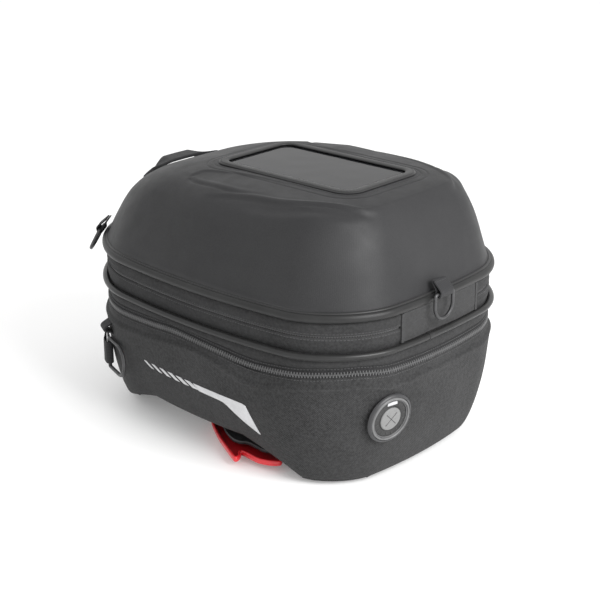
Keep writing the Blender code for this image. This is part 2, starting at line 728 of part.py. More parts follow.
D_RINGS = [
    # name, y, end, height of the bar, distance out of the outline, size, tab rise,
    # roll about the wall's normal, lean of the ring away from the wall (degrees)
    ("rear", -0.0075, 1, 0.1645, 0.0092, SMALL_RING, 0.0110, 0, 0),
    ("front_left", 0.074, -1, 0.1630, 0.0092, SMALL_RING, 0.0100, 0, 28),
    ("front_right", -0.074, -1, 0.1630, 0.0092, SMALL_RING, 0.0100, 0, 28),
    ("lower_left", 0.111, -1, 0.0600, 0.0066, LARGE_RING, 0.0260, -90, -8),
    ("lower_right", -0.111, -1, 0.0600, 0.0066, LARGE_RING, 0.0260, 90, -8),
]


def wall_lean(z):
    """How far the wall stands out of the plan outline at a height on the lower shell."""
    for (high_out, high), (low_out, low) in zip(LOWER_PROFILE, LOWER_PROFILE[1:]):
        if low <= z <= high:
            return low_out + (high_out - low_out) * (z - low) / (high - low)
    return 0.0


def build_d_rings(materials):
    for name, y, end, z, stand_off, size, rise, roll, lean in D_RINGS:
        matrix = wall_matrix(y, end, z, stand_off) @ Matrix.Rotation(math.radians(roll), 4, "X")
        leaning = matrix @ Matrix.Rotation(-math.radians(lean), 4, "Y")
        build_d_ring(f"d_ring_{name}", leaning, size, materials["dark_metal"])
        # a sideways tab follows the corner's curve, an upright one only the wall's lean
        curve = rise ** 2 / (2 * CORNER_CURVE) if roll else 0.0
        fall = wall_lean(z + (size[0] / 2 if roll else rise)) - curve
        build_tab(f"tab_{name}", matrix, size, rise, stand_off - fall, materials["webbing"])


# ---------------------------------------------------------------- zip sliders
SLIDERS = [
    # name, y, height of the zip, distance of the slider's back out of the outline
    ("main_zip_slider_left", 0.012, MAIN_ZIP_Z, 0.0006),
    ("main_zip_slider_right", -0.012, MAIN_ZIP_Z, 0.0006),
    ("expansion_zip_slider", 0.026, EXPANSION_ZIP_Z, 0.0026),
]
SLIDER_SIZE = (0.0030, 0.0080, 0.0090)  # out of the wall, along it, up
PULL_LENGTH = 0.0200
PULL_PIN_OUT = 0.0068  # pull's axis, out of the slider's back


def build_sliders(materials):
    depth, width, height = SLIDER_SIZE
    for name, y, z, back in SLIDERS:
        matrix = wall_matrix(y, -1, z, back)
        half_y, half_z = width / 2, height / 2
        plate = [(0.0, -half_z), (depth, -half_z), (depth, half_z - 0.002), (depth - 0.0008, half_z),
                 (0.0, half_z)]
        rings = [[(x, side * half_y, h) for x, h in plate] for side in (-1, 1)]
        slider = loft(name, rings, materials["dark_metal"])
        slider.matrix_world = matrix
        hang = matrix @ Matrix.Translation((PULL_PIN_OUT, 0, 0))
        half = 0.0032
        outline = [
            (-half * 0.7, 0.0010), (half * 0.7, 0.0010), (half, -0.0010), (half, -PULL_LENGTH + 0.0020),
            (half - 0.0015, -PULL_LENGTH), (-half + 0.0015, -PULL_LENGTH),
            (-half, -PULL_LENGTH + 0.0020), (-half, -0.0010),
        ]
        rings = [[(x, y2, h) for y2, h in outline] for x in (-0.0008, 0.0008)]
        pull = loft(name.replace("slider", "pull"), rings, materials["rubber"])
        pull.matrix_world = hang


# ---------------------------------------------------------------- assembly
def clear_scene():
    for obj in list(bpy.data.objects):
        bpy.data.objects.remove(obj, do_unlink=True)


def build():
    clear_scene()
    materials = build_materials()
    shell = build_lower_shell(materials)
    build_cable_port(materials)
    build_tank_lock(materials)
    build_release_lever(materials)
    build_return_springs(materials)
    build_base_pads(materials)
    build_floor_board(materials)
    build_reflective_strips(materials, shell)
    build_collar(materials)
    lid = build_lid_shell(materials)
    build_lid_edge(materials)
    build_window(materials)
    build_lid_inside(materials)
    build_handle(materials, lid)
    build_d_rings(materials)
    build_sliders(materials)


build()
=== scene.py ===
"""Looks of the expandable motorcycle tank bag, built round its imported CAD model.

Metres, in the model's frame: +X towards the rider's end with the cable port and the lid's hinge,
+Y to the bag's left side seen from that end, +Z up, and the origin on the ground under the middle.
"""

import math

import bmesh
import bpy
import numpy as np
from mathutils import Matrix, Vector
from mathutils.bvhtree import BVHTree


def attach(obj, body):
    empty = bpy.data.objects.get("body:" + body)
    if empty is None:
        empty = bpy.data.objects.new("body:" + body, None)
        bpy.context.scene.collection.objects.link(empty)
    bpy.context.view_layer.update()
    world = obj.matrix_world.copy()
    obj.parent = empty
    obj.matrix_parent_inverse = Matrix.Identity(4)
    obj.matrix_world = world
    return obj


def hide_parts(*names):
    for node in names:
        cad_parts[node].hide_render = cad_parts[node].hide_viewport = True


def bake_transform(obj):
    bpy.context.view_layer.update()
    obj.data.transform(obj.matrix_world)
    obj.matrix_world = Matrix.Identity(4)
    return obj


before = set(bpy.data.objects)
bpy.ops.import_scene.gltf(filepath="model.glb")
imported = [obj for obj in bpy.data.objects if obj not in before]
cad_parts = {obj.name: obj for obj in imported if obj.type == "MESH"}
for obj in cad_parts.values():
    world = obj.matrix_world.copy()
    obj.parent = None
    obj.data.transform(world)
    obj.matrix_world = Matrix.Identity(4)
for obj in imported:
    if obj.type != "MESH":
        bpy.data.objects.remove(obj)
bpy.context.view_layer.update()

# ---------------------------------------------------------------- the bag's plan and heights
HALF_LENGTH, HALF_WIDTH = 0.166, 0.110
REAR_RADIUS, FRONT_RADIUS = 0.054, 0.078
SIDE_BOW, END_BOW, TAPER = 0.020, 0.011, 0.05
WINDOW_X, WINDOW_HALF, WINDOW_RADIUS = 0.036, (0.077, 0.046), 0.014
# points along each corner, side, front end and rider's end of an outline
FINE_STEPS = (28, 84, 20, 40)
CAD_STEPS = (7, 6, 2, 4)

EXPANSION_ZIP_Z = 0.108
PIPING_Z = 0.127
MAIN_ZIP_Z = 0.1435
TRIM_Z = 0.160
LID_TOP_Z = 0.2435
FABRIC = 0.0022
SHELL_WALL = 0.003

LOWER_PROFILE = [  # distance out of the plan outline, height
    (0.0002, 0.1076), (0.0006, 0.1040), (0.0026, 0.0965), (0.0042, 0.0915), (0.0028, 0.0770),
    (0.0000, 0.0560), (-0.0038, 0.0370), (-0.0085, 0.0200), (-0.0132, 0.0085), (-0.0172, 0.0045),
    (-0.0240, 0.0033),
]
RIDGE_ROW_Z = 0.0915
FLOOR_FLAT_RADIUS = 0.0525
ARCH_HEIGHT, ARCH_X, ARCH_HALF_SPAN, ARCH_FLAT_HALF, ARCH_FADE_Z = 0.0245, -0.005, 0.120, 0.058, 0.075

LID_PROFILE = [  # share of the way from the rim to the window, height
    (0.000, 0.1648), (0.035, 0.1775), (0.085, 0.1920), (0.150, 0.2080), (0.225, 0.2210),
    (0.335, 0.2320), (0.500, 0.2395), (0.750, 0.2425), (1.000, 0.2435),
]
FRONT_DROP, FRONT_DROP_X = 0.015, -0.140
REAR_LEAN, REAR_LEAN_X = 0.011, 0.140

# along the bag, how far the expansion zip lies above its level height
ZIP_WAVE = [
    (-0.180, 0.0), (-0.110, 0.0), (-0.083, 0.0008), (-0.045, 0.0030), (-0.012, 0.0050),
    (0.021, 0.0032), (0.046, 0.0012), (0.078, -0.0014), (0.120, 0.0006), (0.150, 0.0026),
    (0.167, 0.0026), (0.174, 0.0006), (0.178, -0.0010),
]
# along the bag, height of the ridge moulded into the lower shell
RIDGE_WAVE = [
    (-0.180, 0.0925), (-0.096, 0.0940), (-0.055, 0.0960), (-0.020, 0.1000), (0.012, 0.1020),
    (0.034, 0.1000), (0.053, 0.0950), (0.066, 0.0905), (0.082, 0.0895), (0.102, 0.0920),
    (0.128, 0.0965), (0.144, 0.0975), (0.166, 0.0985), (0.172, 0.0975), (0.178, 0.0935),
]

HINGE_HALF_WIDTH = 0.052
HANDLE_X, HANDLE_HALF_SPAN, HANDLE_WIDTH = -0.137, 0.042, 0.016
PORT_Y, PORT_Z, PORT_WALL_OUT, PORT_LEAN = -0.0650, 0.0665, 0.0010, math.radians(8)
LOCK_OUTER, LOCK_SOCKET = 0.048, 0.038
SMALL_RING, LARGE_RING = (0.0205, 0.0225, 0.0015), (0.0255, 0.0370, 0.0018)
TAB_THICKNESS, TAB_BACK_OUT, CORNER_CURVE = 0.0014, 0.0016, 0.170
D_RINGS = [
    # name, y, end, height of the bar, distance out of the outline, size, tab rise, roll, lean
    ("rear", -0.0075, 1, 0.1645, 0.0092, SMALL_RING, 0.0110, 0, 0),
    ("front_left", 0.074, -1, 0.1630, 0.0092, SMALL_RING, 0.0100, 0, 28),
    ("front_right", -0.074, -1, 0.1630, 0.0092, SMALL_RING, 0.0100, 0, 28),
    ("lower_left", 0.111, -1, 0.0600, 0.0066, LARGE_RING, 0.0260, -90, -8),
    ("lower_right", -0.111, -1, 0.0600, 0.0066, LARGE_RING, 0.0260, 90, -8),
]
HOLLOW_Y, HOLLOW_Z, HOLLOW_HALF_WIDTH, HOLLOW_HALF_HEIGHT = -0.0075, 0.1385, 0.032, 0.016
HOLLOW_DEPTH = 0.0026
SLIDERS = [
    ("main_zip_slider_left", "main_slider_left", 0.012, MAIN_ZIP_Z, 0.0006),
    ("main_zip_slider_right", "main_slider_right", -0.012, MAIN_ZIP_Z, 0.0006),
    ("expansion_zip_slider", "expansion_slider", 0.026, EXPANSION_ZIP_Z, 0.0026),
]
PULL_PIN_OUT, PULL_LENGTH = 0.0068, 0.0200

# ---------------------------------------------------------------- materials


class Nodes:
    """Builds one material's node tree with short calls; a link is made wherever a socket is given."""

    def __init__(self, name):
        self.material = bpy.data.materials.new(name)
        self.material.use_nodes = True
        self.tree = self.material.node_tree
        self.shader = self.tree.nodes["Principled BSDF"]

    def add(self, kind, inputs=None, output=0, **settings):
        node = self.tree.nodes.new(kind)
        for key, value in settings.items():
            setattr(node, key, value)
        for key, value in (inputs or {}).items():
            self.put(node.inputs[key], value)
        return node.outputs[output]

    def put(self, socket, value):
        if isinstance(value, bpy.types.NodeSocket):
            self.tree.links.new(value, socket)
        else:
            socket.default_value = value

    def math(self, operation, a, b=0.0):
        return self.add("ShaderNodeMath", {0: a, 1: b}, operation=operation)

    def place(self):
        """Position in metres, the same on every piece at rest."""
        return self.add("ShaderNodeTexCoord", output="Object")

    def noise(self, scale, detail=3.0, roughness=0.55, where=None):
        return self.add("ShaderNodeTexNoise", {
            "Vector": where or self.place(), "Scale": scale, "Detail": detail, "Roughness": roughness,
        })

    def cloth(self):
        """Along and across the fabric, in metres."""
        uv = self.add("ShaderNodeUVMap", uv_map="cloth")
        split = self.tree.nodes.new("ShaderNodeSeparateXYZ")
        self.tree.links.new(uv, split.inputs[0])
        return split.outputs[0], split.outputs[1]

    def wave(self, coordinate, pitch):
        """Sine of a coordinate with the given pitch, from 0 to 1."""
        turns = self.math("MULTIPLY", coordinate, 2 * math.pi / pitch)
        return self.math("MULTIPLY_ADD", self.math("SINE", turns), 0.5)

    def spread(self, value, low, high, start=0.0, end=1.0):
        return self.add("ShaderNodeMapRange", {
            "Value": value, "From Min": low, "From Max": high, "To Min": start, "To Max": end,
        })

    def blend(self, factor, a, b):
        """Colour a where factor is 0 and b where it is 1."""
        node = self.tree.nodes.new("ShaderNodeMix")
        node.data_type = "RGBA"
        self.put(node.inputs["Factor"], factor)
        sockets = [s for s in node.inputs if s.type == "RGBA"]
        for socket, value in zip(sockets, (a, b)):
            self.put(socket, (*value, 1.0) if isinstance(value, tuple) else value)
        return next(s for s in node.outputs if s.type == "RGBA")

    def worn_edges(self):
        """1 along outward edges, where handling polishes and greys a surface."""
        geometry = self.add("ShaderNodeNewGeometry", output="Pointiness")
        return self.spread(geometry, 0.52, 0.60)

    def bump(self, height, distance, strength=1.0, below=None):
        inputs = {"Height": height, "Distance": distance, "Strength": strength}
        if below is not None:
            inputs["Normal"] = below
        return self.add("ShaderNodeBump", inputs)

    def finish(self, colour, roughness, normal=None, **plain):
        self.put(self.shader.inputs["Base Color"], (*colour, 1.0) if isinstance(colour, tuple) else colour)
        self.put(self.shader.inputs["Roughness"], roughness)
        if normal is not None:
            self.put(self.shader.inputs["Normal"], normal)
        for key, value in plain.items():
            self.shader.inputs[key.replace("_", " ")].default_value = value
        return self.material


def moulded_skin():
    """Coated cloth pressed over foam: very fine grain, slightly greyer on its raised lines."""
    n = Nodes("lid_skin_moulded")
    cloudy = n.noise(14.0, 4.0)
    speckle = n.noise(1700.0, 2.0)
    colour = n.blend(n.spread(cloudy, 0.3, 0.7), (0.015, 0.015, 0.016), (0.022, 0.022, 0.023))
    colour = n.blend(n.spread(speckle, 0.35, 0.75, 0.0, 0.45), colour, (0.040, 0.040, 0.041))
    colour = n.blend(n.math("MULTIPLY", n.worn_edges(), 0.35), colour, (0.065, 0.065, 0.066))
    roughness = n.spread(n.noise(60.0), 0.3, 0.7, 0.48, 0.58)
    along, across = n.cloth()
    weave = n.math("MULTIPLY", n.wave(along, 0.0011), n.wave(across, 0.0011))
    normal = n.bump(weave, 0.00006, 0.5)
    normal = n.bump(speckle, 0.00010, 0.5, below=normal)
    return n.finish(colour, roughness, normal, Specular_IOR_Level=0.27)


def woven_cloth(name, dark, light, pitch, depth=0.00016):
    """Plain weave: warp and weft pass over each other in a chequer, with flecked yarn."""
    n = Nodes(name)
    along, across = n.cloth()
    warp, weft = n.wave(along, pitch), n.wave(across, pitch)
    crossing = n.math("ABSOLUTE", n.math("SUBTRACT", warp, weft))
    fleck = n.noise(900.0, 2.0)
    faded = n.noise(18.0, 4.0)
    slub = n.noise(420.0, 2.0)
    tone = n.math("MULTIPLY", crossing, 0.40)
    tone = n.math("ADD", tone, n.spread(fleck, 0.3, 0.7, 0.0, 0.30))
    tone = n.math("ADD", tone, n.spread(slub, 0.35, 0.65, 0.0, 0.30))
    tone = n.math("ADD", tone, n.spread(faded, 0.3, 0.7, -0.1, 0.15))
    colour = n.blend(tone, dark, light)
    colour = n.blend(n.math("MULTIPLY", n.worn_edges(), 0.3), colour, (0.095, 0.095, 0.096))
    roughness = n.spread(fleck, 0.3, 0.7, 0.70, 0.86)
    normal = n.bump(crossing, depth, 0.8)
    normal = n.bump(fleck, depth, 0.4, below=normal)
    return n.finish(colour, roughness, normal, Specular_IOR_Level=0.22, Sheen_Weight=0.03)


def ribbed_webbing():
    """Strap webbing: cords along the strap with a fine zigzag of weft over them."""
    n = Nodes("webbing_ribbed")
    along, across = n.cloth()
    ribs = n.wave(across, 0.0016)
    picks = n.wave(n.math("ADD", along, n.math("MULTIPLY", ribs, 0.0005)), 0.0012)
    fleck = n.noise(1100.0, 2.0)
    height = n.math("ADD", ribs, n.math("MULTIPLY", picks, 0.5))
    tone = n.math("MULTIPLY", height, n.spread(fleck, 0.3, 0.7, 0.4, 0.8))
    colour = n.blend(tone, (0.010, 0.010, 0.011), (0.036, 0.036, 0.038))
    normal = n.bump(height, 0.00022, 0.9)
    roughness = n.spread(fleck, 0.3, 0.7, 0.62, 0.8)
    return n.finish(colour, roughness, normal, Specular_IOR_Level=0.25, Sheen_Weight=0.04)


def coated_trim(name, dark, light, roughness):
    """Extruded edging with a faint lengthwise draw and rubbed high spots."""
    n = Nodes(name)
    _, across = n.cloth()
    draw = n.noise(2600.0, 1.0)
    patches = n.noise(35.0, 4.0)
    colour = n.blend(n.spread(patches, 0.3, 0.7), dark, light)
    colour = n.blend(n.math("MULTIPLY", n.worn_edges(), 0.25), colour, (0.060, 0.060, 0.061))
    rough = n.spread(patches, 0.3, 0.7, roughness - 0.06, roughness + 0.08)
    lines = n.wave(across, 0.0011)
    normal = n.bump(n.math("ADD", lines, draw), 0.00005, 0.5)
    return n.finish(colour, rough, normal, Specular_IOR_Level=0.28)


def moulded_plastic(name, dark, light, roughness, grain=0.00006, **plain):
    """Injection-moulded plastic: spark-eroded grain, scuffs and paler edges."""
    n = Nodes(name)
    grains = n.noise(1500.0, 3.0)
    scuffs = n.noise(70.0, 6.0, 0.7)
    colour = n.blend(n.spread(scuffs, 0.35, 0.7), dark, light)
    pale = tuple(min(1.0, c * 1.5 + 0.02) for c in light)
    colour = n.blend(n.math("MULTIPLY", n.worn_edges(), 0.5), colour, pale)
    rough = n.spread(scuffs, 0.35, 0.7, roughness - 0.06, roughness + 0.10)
    return n.finish(colour, rough, n.bump(grains, grain, 0.5), **plain)


def metal(name, dark, light, roughness, metallic):
    """Plated wire or plate: cloudy tarnish, hairline scratches, brighter edges."""
    n = Nodes(name)
    cloudy = n.noise(120.0, 4.0)
    stretched = n.add("ShaderNodeMapping", {"Vector": n.place(), "Scale": (1.0, 1.0, 12.0)})
    scratches = n.noise(900.0, 2.0, 0.7, where=stretched)
    colour = n.blend(n.spread(cloudy, 0.3, 0.7), dark, light)
    bright = tuple(min(1.0, c + 0.15) for c in light)
    colour = n.blend(n.math("MULTIPLY", n.worn_edges(), 0.5), colour, bright)
    rough = n.spread(scratches, 0.3, 0.7, roughness - 0.06, roughness + 0.12)
    return n.finish(colour, rough, n.bump(scratches, 0.00003, 0.5), Metallic=metallic)


def rubber():
    n = Nodes("rubber_matt")
    grains = n.noise(1300.0, 3.0)
    bloom = n.noise(50.0, 5.0)
    colour = n.blend(n.spread(bloom, 0.35, 0.7), (0.018, 0.018, 0.018), (0.034, 0.034, 0.034))
    colour = n.blend(n.math("MULTIPLY", n.worn_edges(), 0.4), colour, (0.07, 0.07, 0.07))
    return n.finish(colour, n.spread(bloom, 0.3, 0.7, 0.62, 0.78), n.bump(grains, 0.00008, 0.6))


def grey_insert():
    """Softer mid-grey rubber in the middle of the cable port."""
    n = Nodes("port_insert_grey")
    grains = n.noise(1300.0, 3.0)
    colour = n.blend(n.spread(grains, 0.3, 0.7), (0.150, 0.150, 0.150), (0.200, 0.200, 0.198))
    return n.finish(colour, n.spread(grains, 0.3, 0.7, 0.5, 0.62), n.bump(grains, 0.00006, 0.5))


def reflective_film():
    """Silver retro-reflective transfer: tiny glass beads under a worn clear coat."""
    n = Nodes("reflective_film")
    beads = n.add("ShaderNodeTexVoronoi", {"Vector": n.place(), "Scale": 2600.0})
    patches = n.noise(120.0, 5.0)
    colour = n.blend(n.spread(patches, 0.3, 0.7), (0.50, 0.50, 0.51), (0.62, 0.62, 0.63))
    colour = n.blend(n.spread(beads, 0.2, 0.8, 0.0, 0.25), colour, (0.30, 0.30, 0.31))
    rough = n.spread(patches, 0.3, 0.7, 0.38, 0.5)
    return n.finish(colour, rough, n.bump(beads, 0.00004, 0.4), Metallic=0.25)


def clear_film():
    """Flexible window: tinted, glossy, with long shallow ripples."""
    n = Nodes("window_film_clear")
    ripples = n.noise(16.0, 2.0)
    smears = n.noise(45.0, 5.0)
    colour = n.blend(n.spread(smears, 0.3, 0.7), (0.006, 0.006, 0.007), (0.010, 0.010, 0.011))
    normal = n.bump(ripples, 0.0012, 0.35)
    roughness = n.spread(smears, 0.35, 0.7, 0.05, 0.12)
    return n.finish(colour, roughness, normal, Alpha=0.80, Specular_IOR_Level=0.20)


def foam():
    n = Nodes("foam_board_cells")
    cells = n.add("ShaderNodeTexVoronoi", {"Vector": n.place(), "Scale": 700.0})
    patches = n.noise(40.0, 4.0)
    colour = n.blend(n.spread(patches, 0.3, 0.7), (0.055, 0.055, 0.058), (0.085, 0.085, 0.090))
    return n.finish(colour, n.spread(patches, 0.3, 0.7, 0.78, 0.9), n.bump(cells, 0.0003, 0.6))


def pocket_net():
    """Knitted net: rows of round holes painted near-black, the dark lining behind them plus painted shade."""
    n = Nodes("mesh_net_knit")
    along, across = n.cloth()
    holes = n.math("MULTIPLY", n.wave(along, 0.0032), n.wave(across, 0.0032))
    fleck = n.noise(900.0, 2.0)
    yarn = n.blend(n.spread(fleck, 0.3, 0.7), (0.022, 0.022, 0.023), (0.046, 0.046, 0.048))
    # near-black in the holes: dark lining behind, deepened as painted shade
    colour = n.blend(n.spread(holes, 0.32, 0.42), yarn, (0.003, 0.003, 0.003))
    height = n.spread(holes, 0.25, 0.45, 1.0, 0.0)
    return n.finish(colour, n.spread(fleck, 0.3, 0.7, 0.75, 0.85), n.bump(height, 0.0005, 0.9))


def pale_floor():
    n = Nodes("studio_floor")
    tone = n.spread(n.noise(3.0, 2.0), 0.3, 0.7)
    colour = n.blend(tone, (0.84, 0.84, 0.84), (0.855, 0.855, 0.852))
    return n.finish(colour, 0.75, Emission_Color=(1.0, 1.0, 1.0, 1.0), Emission_Strength=0.16)


MATERIALS = {
    "lid_skin": moulded_skin(),
    "textile": woven_cloth("textile_woven", (0.006, 0.006, 0.006), (0.050, 0.050, 0.051), 0.0016),
    "band": woven_cloth("textile_band", (0.006, 0.006, 0.006), (0.044, 0.044, 0.045), 0.0014),
    "panel": woven_cloth("textile_panel", (0.020, 0.020, 0.020), (0.052, 0.052, 0.053), 0.0010, 0.0001),
    "lining": woven_cloth("textile_lining", (0.008, 0.008, 0.009), (0.022, 0.022, 0.023), 0.0008, 0.00008),
    "tape": woven_cloth("zip_tape", (0.004, 0.004, 0.004), (0.020, 0.020, 0.021), 0.0007, 0.00010),
    "thread": woven_cloth("stitch_thread", (0.040, 0.040, 0.041), (0.078, 0.078, 0.080), 0.0004, 0.00005),
    "webbing": ribbed_webbing(),
    "trim": coated_trim("trim_coated", (0.013, 0.013, 0.013), (0.021, 0.021, 0.021), 0.40),
    "piping": coated_trim("piping_coated", (0.015, 0.015, 0.015), (0.023, 0.023, 0.023), 0.32),
    "zip": moulded_plastic("zip_teeth", (0.036, 0.036, 0.037), (0.068, 0.068, 0.069), 0.40),
    "black_plastic": moulded_plastic("black_plastic_grained", (0.014, 0.014, 0.015), (0.028, 0.028, 0.030),
                                     0.42),
    "rubber": rubber(),
    "insert": grey_insert(),
    "red_plastic": moulded_plastic("red_plastic_glossy", (0.48, 0.008, 0.014), (0.60, 0.014, 0.022), 0.30,
                                   0.00002, Coat_Weight=0.3, Coat_Roughness=0.12),
    # darker red for the lever's sunk plate: painted shade of its recess, on a duller finish
    "red_dull_painted_shade": moulded_plastic("red_plastic_recess_painted_shade", (0.28, 0.003, 0.007), (0.36, 0.005, 0.010), 0.38,
                                0.00002),
    "steel": metal("steel_zinc", (0.42, 0.42, 0.43), (0.60, 0.60, 0.61), 0.34, 1.0),
    "dark_metal": metal("dark_metal_satin", (0.026, 0.026, 0.027), (0.052, 0.052, 0.054), 0.38, 0.6),
    "silver_ring": metal("silver_ring_satin", (0.10, 0.10, 0.101), (0.15, 0.15, 0.152), 0.42, 0.6),
    "reflective": reflective_film(),
    "clear_film": clear_film(),
    "foam_board": foam(),
    "mesh_net": pocket_net(),
}


# ---------------------------------------------------------------- plan outline
def rounded_outline(half_x, half_y, rear, front, side_bow=0.0, end_bow=0.0, taper=0.0, centre=0.0,
                    steps=FINE_STEPS):
    """Points round a rounded rectangle, anticlockwise from the rider's end's left corner."""
    corners = [(1, 1, rear), (-1, 1, front), (-1, -1, front), (1, -1, rear)]
    corner_steps, side_steps, front_steps, rear_steps = steps
    straight_steps = [side_steps, front_steps, side_steps, rear_steps]
    arcs = []
    for quarter, (sx, sy, radius) in enumerate(corners):
        angles = math.pi / 2 * (quarter + np.arange(corner_steps + 1) / corner_steps)
        middle = np.array([sx * (half_x - radius), sy * (half_y - radius)])
        arcs.append(middle + radius * np.stack([np.cos(angles), np.sin(angles)], 1))
    parts = []
    for quarter, count in enumerate(straight_steps):
        start, target = arcs[quarter][-1], arcs[(quarter + 1) % 4][0]
        share = np.arange(1, count)[:, None] / count
        parts += [arcs[quarter], start + (target - start) * share]
    flat = np.concatenate(parts)
    across = np.clip(flat[:, 1] / half_y, -1, 1)
    along = np.clip(flat[:, 0] / half_x, -1, 1)
    y = (flat[:, 1] + side_bow * (1 - along ** 2) * across) * (1 + taper * along)
    x = flat[:, 0] + end_bow * (1 - across ** 2) * along + centre
    return np.stack([x, y], 1)


def bag_outline(offset=0.0, steps=FINE_STEPS):
    return rounded_outline(
        HALF_LENGTH + offset, HALF_WIDTH + offset, REAR_RADIUS + offset, FRONT_RADIUS + offset,
        SIDE_BOW, END_BOW, TAPER, steps=steps,
    )


def window_outline(grow=0.0):
    radius = WINDOW_RADIUS + grow
    return rounded_outline(WINDOW_HALF[0] + grow, WINDOW_HALF[1] + grow, radius, radius, centre=WINDOW_X)


def table(pairs, x):
    """Smooth curve through (x, value) pairs, read at every x."""
    xs, values = np.array(pairs).T
    slopes = np.gradient(values, xs)
    k = np.clip(np.searchsorted(xs, x) - 1, 0, len(xs) - 2)
    width = xs[k + 1] - xs[k]
    t = np.clip((x - xs[k]) / width, 0, 1)
    return (
        (2 * t ** 3 - 3 * t ** 2 + 1) * values[k] + (t ** 3 - 2 * t ** 2 + t) * width * slopes[k]
        + (3 * t ** 2 - 2 * t ** 3) * values[k + 1] + (t ** 3 - t ** 2) * width * slopes[k + 1]
    )


def zip_wave(x):
    return table(ZIP_WAVE, x)


def smooth_path(points, steps):
    """Curve through the points, with so many steps between each two."""
    points = np.array(points, float)
    padded = np.vstack([2 * points[0] - points[1], points, 2 * points[-1] - points[-2]])
    t = np.arange(steps)[:, None] / steps
    pieces = []
    for a, b, c, d in zip(padded, padded[1:], padded[2:], padded[3:]):
        pieces.append(0.5 * (2 * b + (c - a) * t + (2 * a - 5 * b + 4 * c - d) * t ** 2
                             + (3 * b - a - 3 * c + d) * t ** 3))
    return np.vstack([*pieces, points[-1:]])


def smoothstep(value):
    value = np.clip(value, 0, 1)
    return value * value * (3 - 2 * value)


# ---------------------------------------------------------------- mesh helpers
def make_mesh(name, points, faces, uvs, material, crease=35):
    """Object from points and faces; uvs has one (along, across) pair for each face corner."""
    mesh = bpy.data.meshes.new(name)
    mesh.from_pydata([tuple(map(float, p)) for p in points], [], faces)
    layer = mesh.uv_layers.new(name="cloth")
    layer.data.foreach_set("uv", np.asarray(uvs, np.float32).ravel())
    bm = bmesh.new()
    bm.from_mesh(mesh)
    bmesh.ops.remove_doubles(bm, verts=bm.verts, dist=1e-7)
    bmesh.ops.recalc_face_normals(bm, faces=bm.faces)
    bm.to_mesh(mesh)
    bm.free()
    mesh.shade_smooth()
    mesh.set_sharp_from_angle(angle=math.radians(crease))
    mesh.materials.append(material)
    obj = bpy.data.objects.new(name, mesh)
    bpy.context.scene.collection.objects.link(obj)
    return obj


def skin(name, rows, material, wrap=True, joined=False, caps=False, crease=35, matrix=None):
    """Quads between rows of points: wrap closes each row, joined closes the last row to the first."""
    rows = np.asarray(rows, float)
    row_count, count = rows.shape[:2]
    lengths = np.linalg.norm(np.diff(rows, axis=1, append=rows[:, :1]), axis=2).mean(0)
    along = np.concatenate([[0], np.cumsum(lengths)])
    heights = np.linalg.norm(np.diff(rows, axis=0, append=rows[:1]), axis=2).mean(1)
    across = np.concatenate([[0], np.cumsum(heights)])
    faces, uvs = [], []
    for r in range(row_count if joined else row_count - 1):
        s = (r + 1) % row_count
        for k in range(count if wrap else count - 1):
            n = (k + 1) % count
            faces.append((r * count + k, r * count + n, s * count + n, s * count + k))
            uvs += [(along[k], across[r]), (along[k + 1], across[r]),
                    (along[k + 1], across[r + 1]), (along[k], across[r + 1])]
    if caps:
        for r, order in ((0, range(count - 1, -1, -1)), (row_count - 1, range(count))):
            faces.append(tuple(r * count + k for k in order))
            uvs += [tuple(rows[r, k, :2]) for k in order]
    points = rows.reshape(-1, 3)
    if matrix is not None:
        points = points @ np.array(matrix.to_3x3()).T + np.array(matrix.translation)
    return make_mesh(name, points, faces, uvs, material, crease)


def rings_from(profile, wave=None):
    """Rings of points round the bag from (offset, height) pairs; wave(x) lifts them."""
    rings = []
    for offset, z in profile:
        plan = bag_outline(offset)
        lift = wave(plan[:, 0]) if wave else 0.0
        rings.append(np.column_stack([plan, z + lift + np.zeros(len(plan))]))
    return np.array(rings)


def stretch(rings, keep):
    """The columns of the rings where keep(x, y) holds, in order round the bag."""
    base = bag_outline()
    kept = keep(base[:, 0], base[:, 1])
    first = next(k for k in range(len(kept)) if kept[k] and not kept[k - 1])
    order = [k for k in np.roll(np.arange(len(kept)), -first) if kept[k]]
    return rings[:, order]


def at_hinge(x, y):
    return (x > 0) & (np.abs(y) < HINGE_HALF_WIDTH - 0.0008)


def ahead_of_hinge(x, y):
    return ~at_hinge(x, y)


def part_band(name, profile, material, keep, wave=None):
    """Closed stretch of a band: profile is a closed polygon of (offset, height)."""
    rings = stretch(rings_from(profile, wave), keep)
    stations = rings.transpose(1, 0, 2)
    return skin(name, stations, material, caps=True, crease=40)


def ellipse(offset, z, across, up, sides=16):
    angles = 2 * np.pi * (np.arange(sides) + 0.5) / sides
    return [(offset + across * math.cos(a), z + up * math.sin(a)) for a in angles]


def turned(name, profile, material, matrix=None, sides=64, joined=True):
    """Ring turned about local Z; profile is a polygon of (radius, height)."""
    angles = 2 * np.pi * np.arange(sides) / sides
    rows = [np.column_stack([r * np.cos(angles), r * np.sin(angles), np.full(sides, z)]) for r, z in profile]
    return skin(name, rows, material, joined=joined, caps=not joined, matrix=matrix, crease=30)


def even_path(path, spacing, closed=True):
    """Points, directions and arc length at even spacing along a path."""
    path = np.asarray(path, float)
    if closed:
        path = np.vstack([path, path[:1]])
    lengths = np.linalg.norm(np.diff(path, axis=0), axis=1)
    distance = np.concatenate([[0], np.cumsum(lengths)])
    count = max(2, int(round(distance[-1] / spacing)))
    wanted = (np.arange(count) + 0.5) * distance[-1] / count
    places = np.column_stack([np.interp(wanted, distance, path[:, axis]) for axis in range(3)])
    segment = np.clip(np.searchsorted(distance, wanted) - 1, 0, len(lengths) - 1)
    tangents = np.diff(path, axis=0)[segment] / lengths[segment][:, None]
    return places, tangents


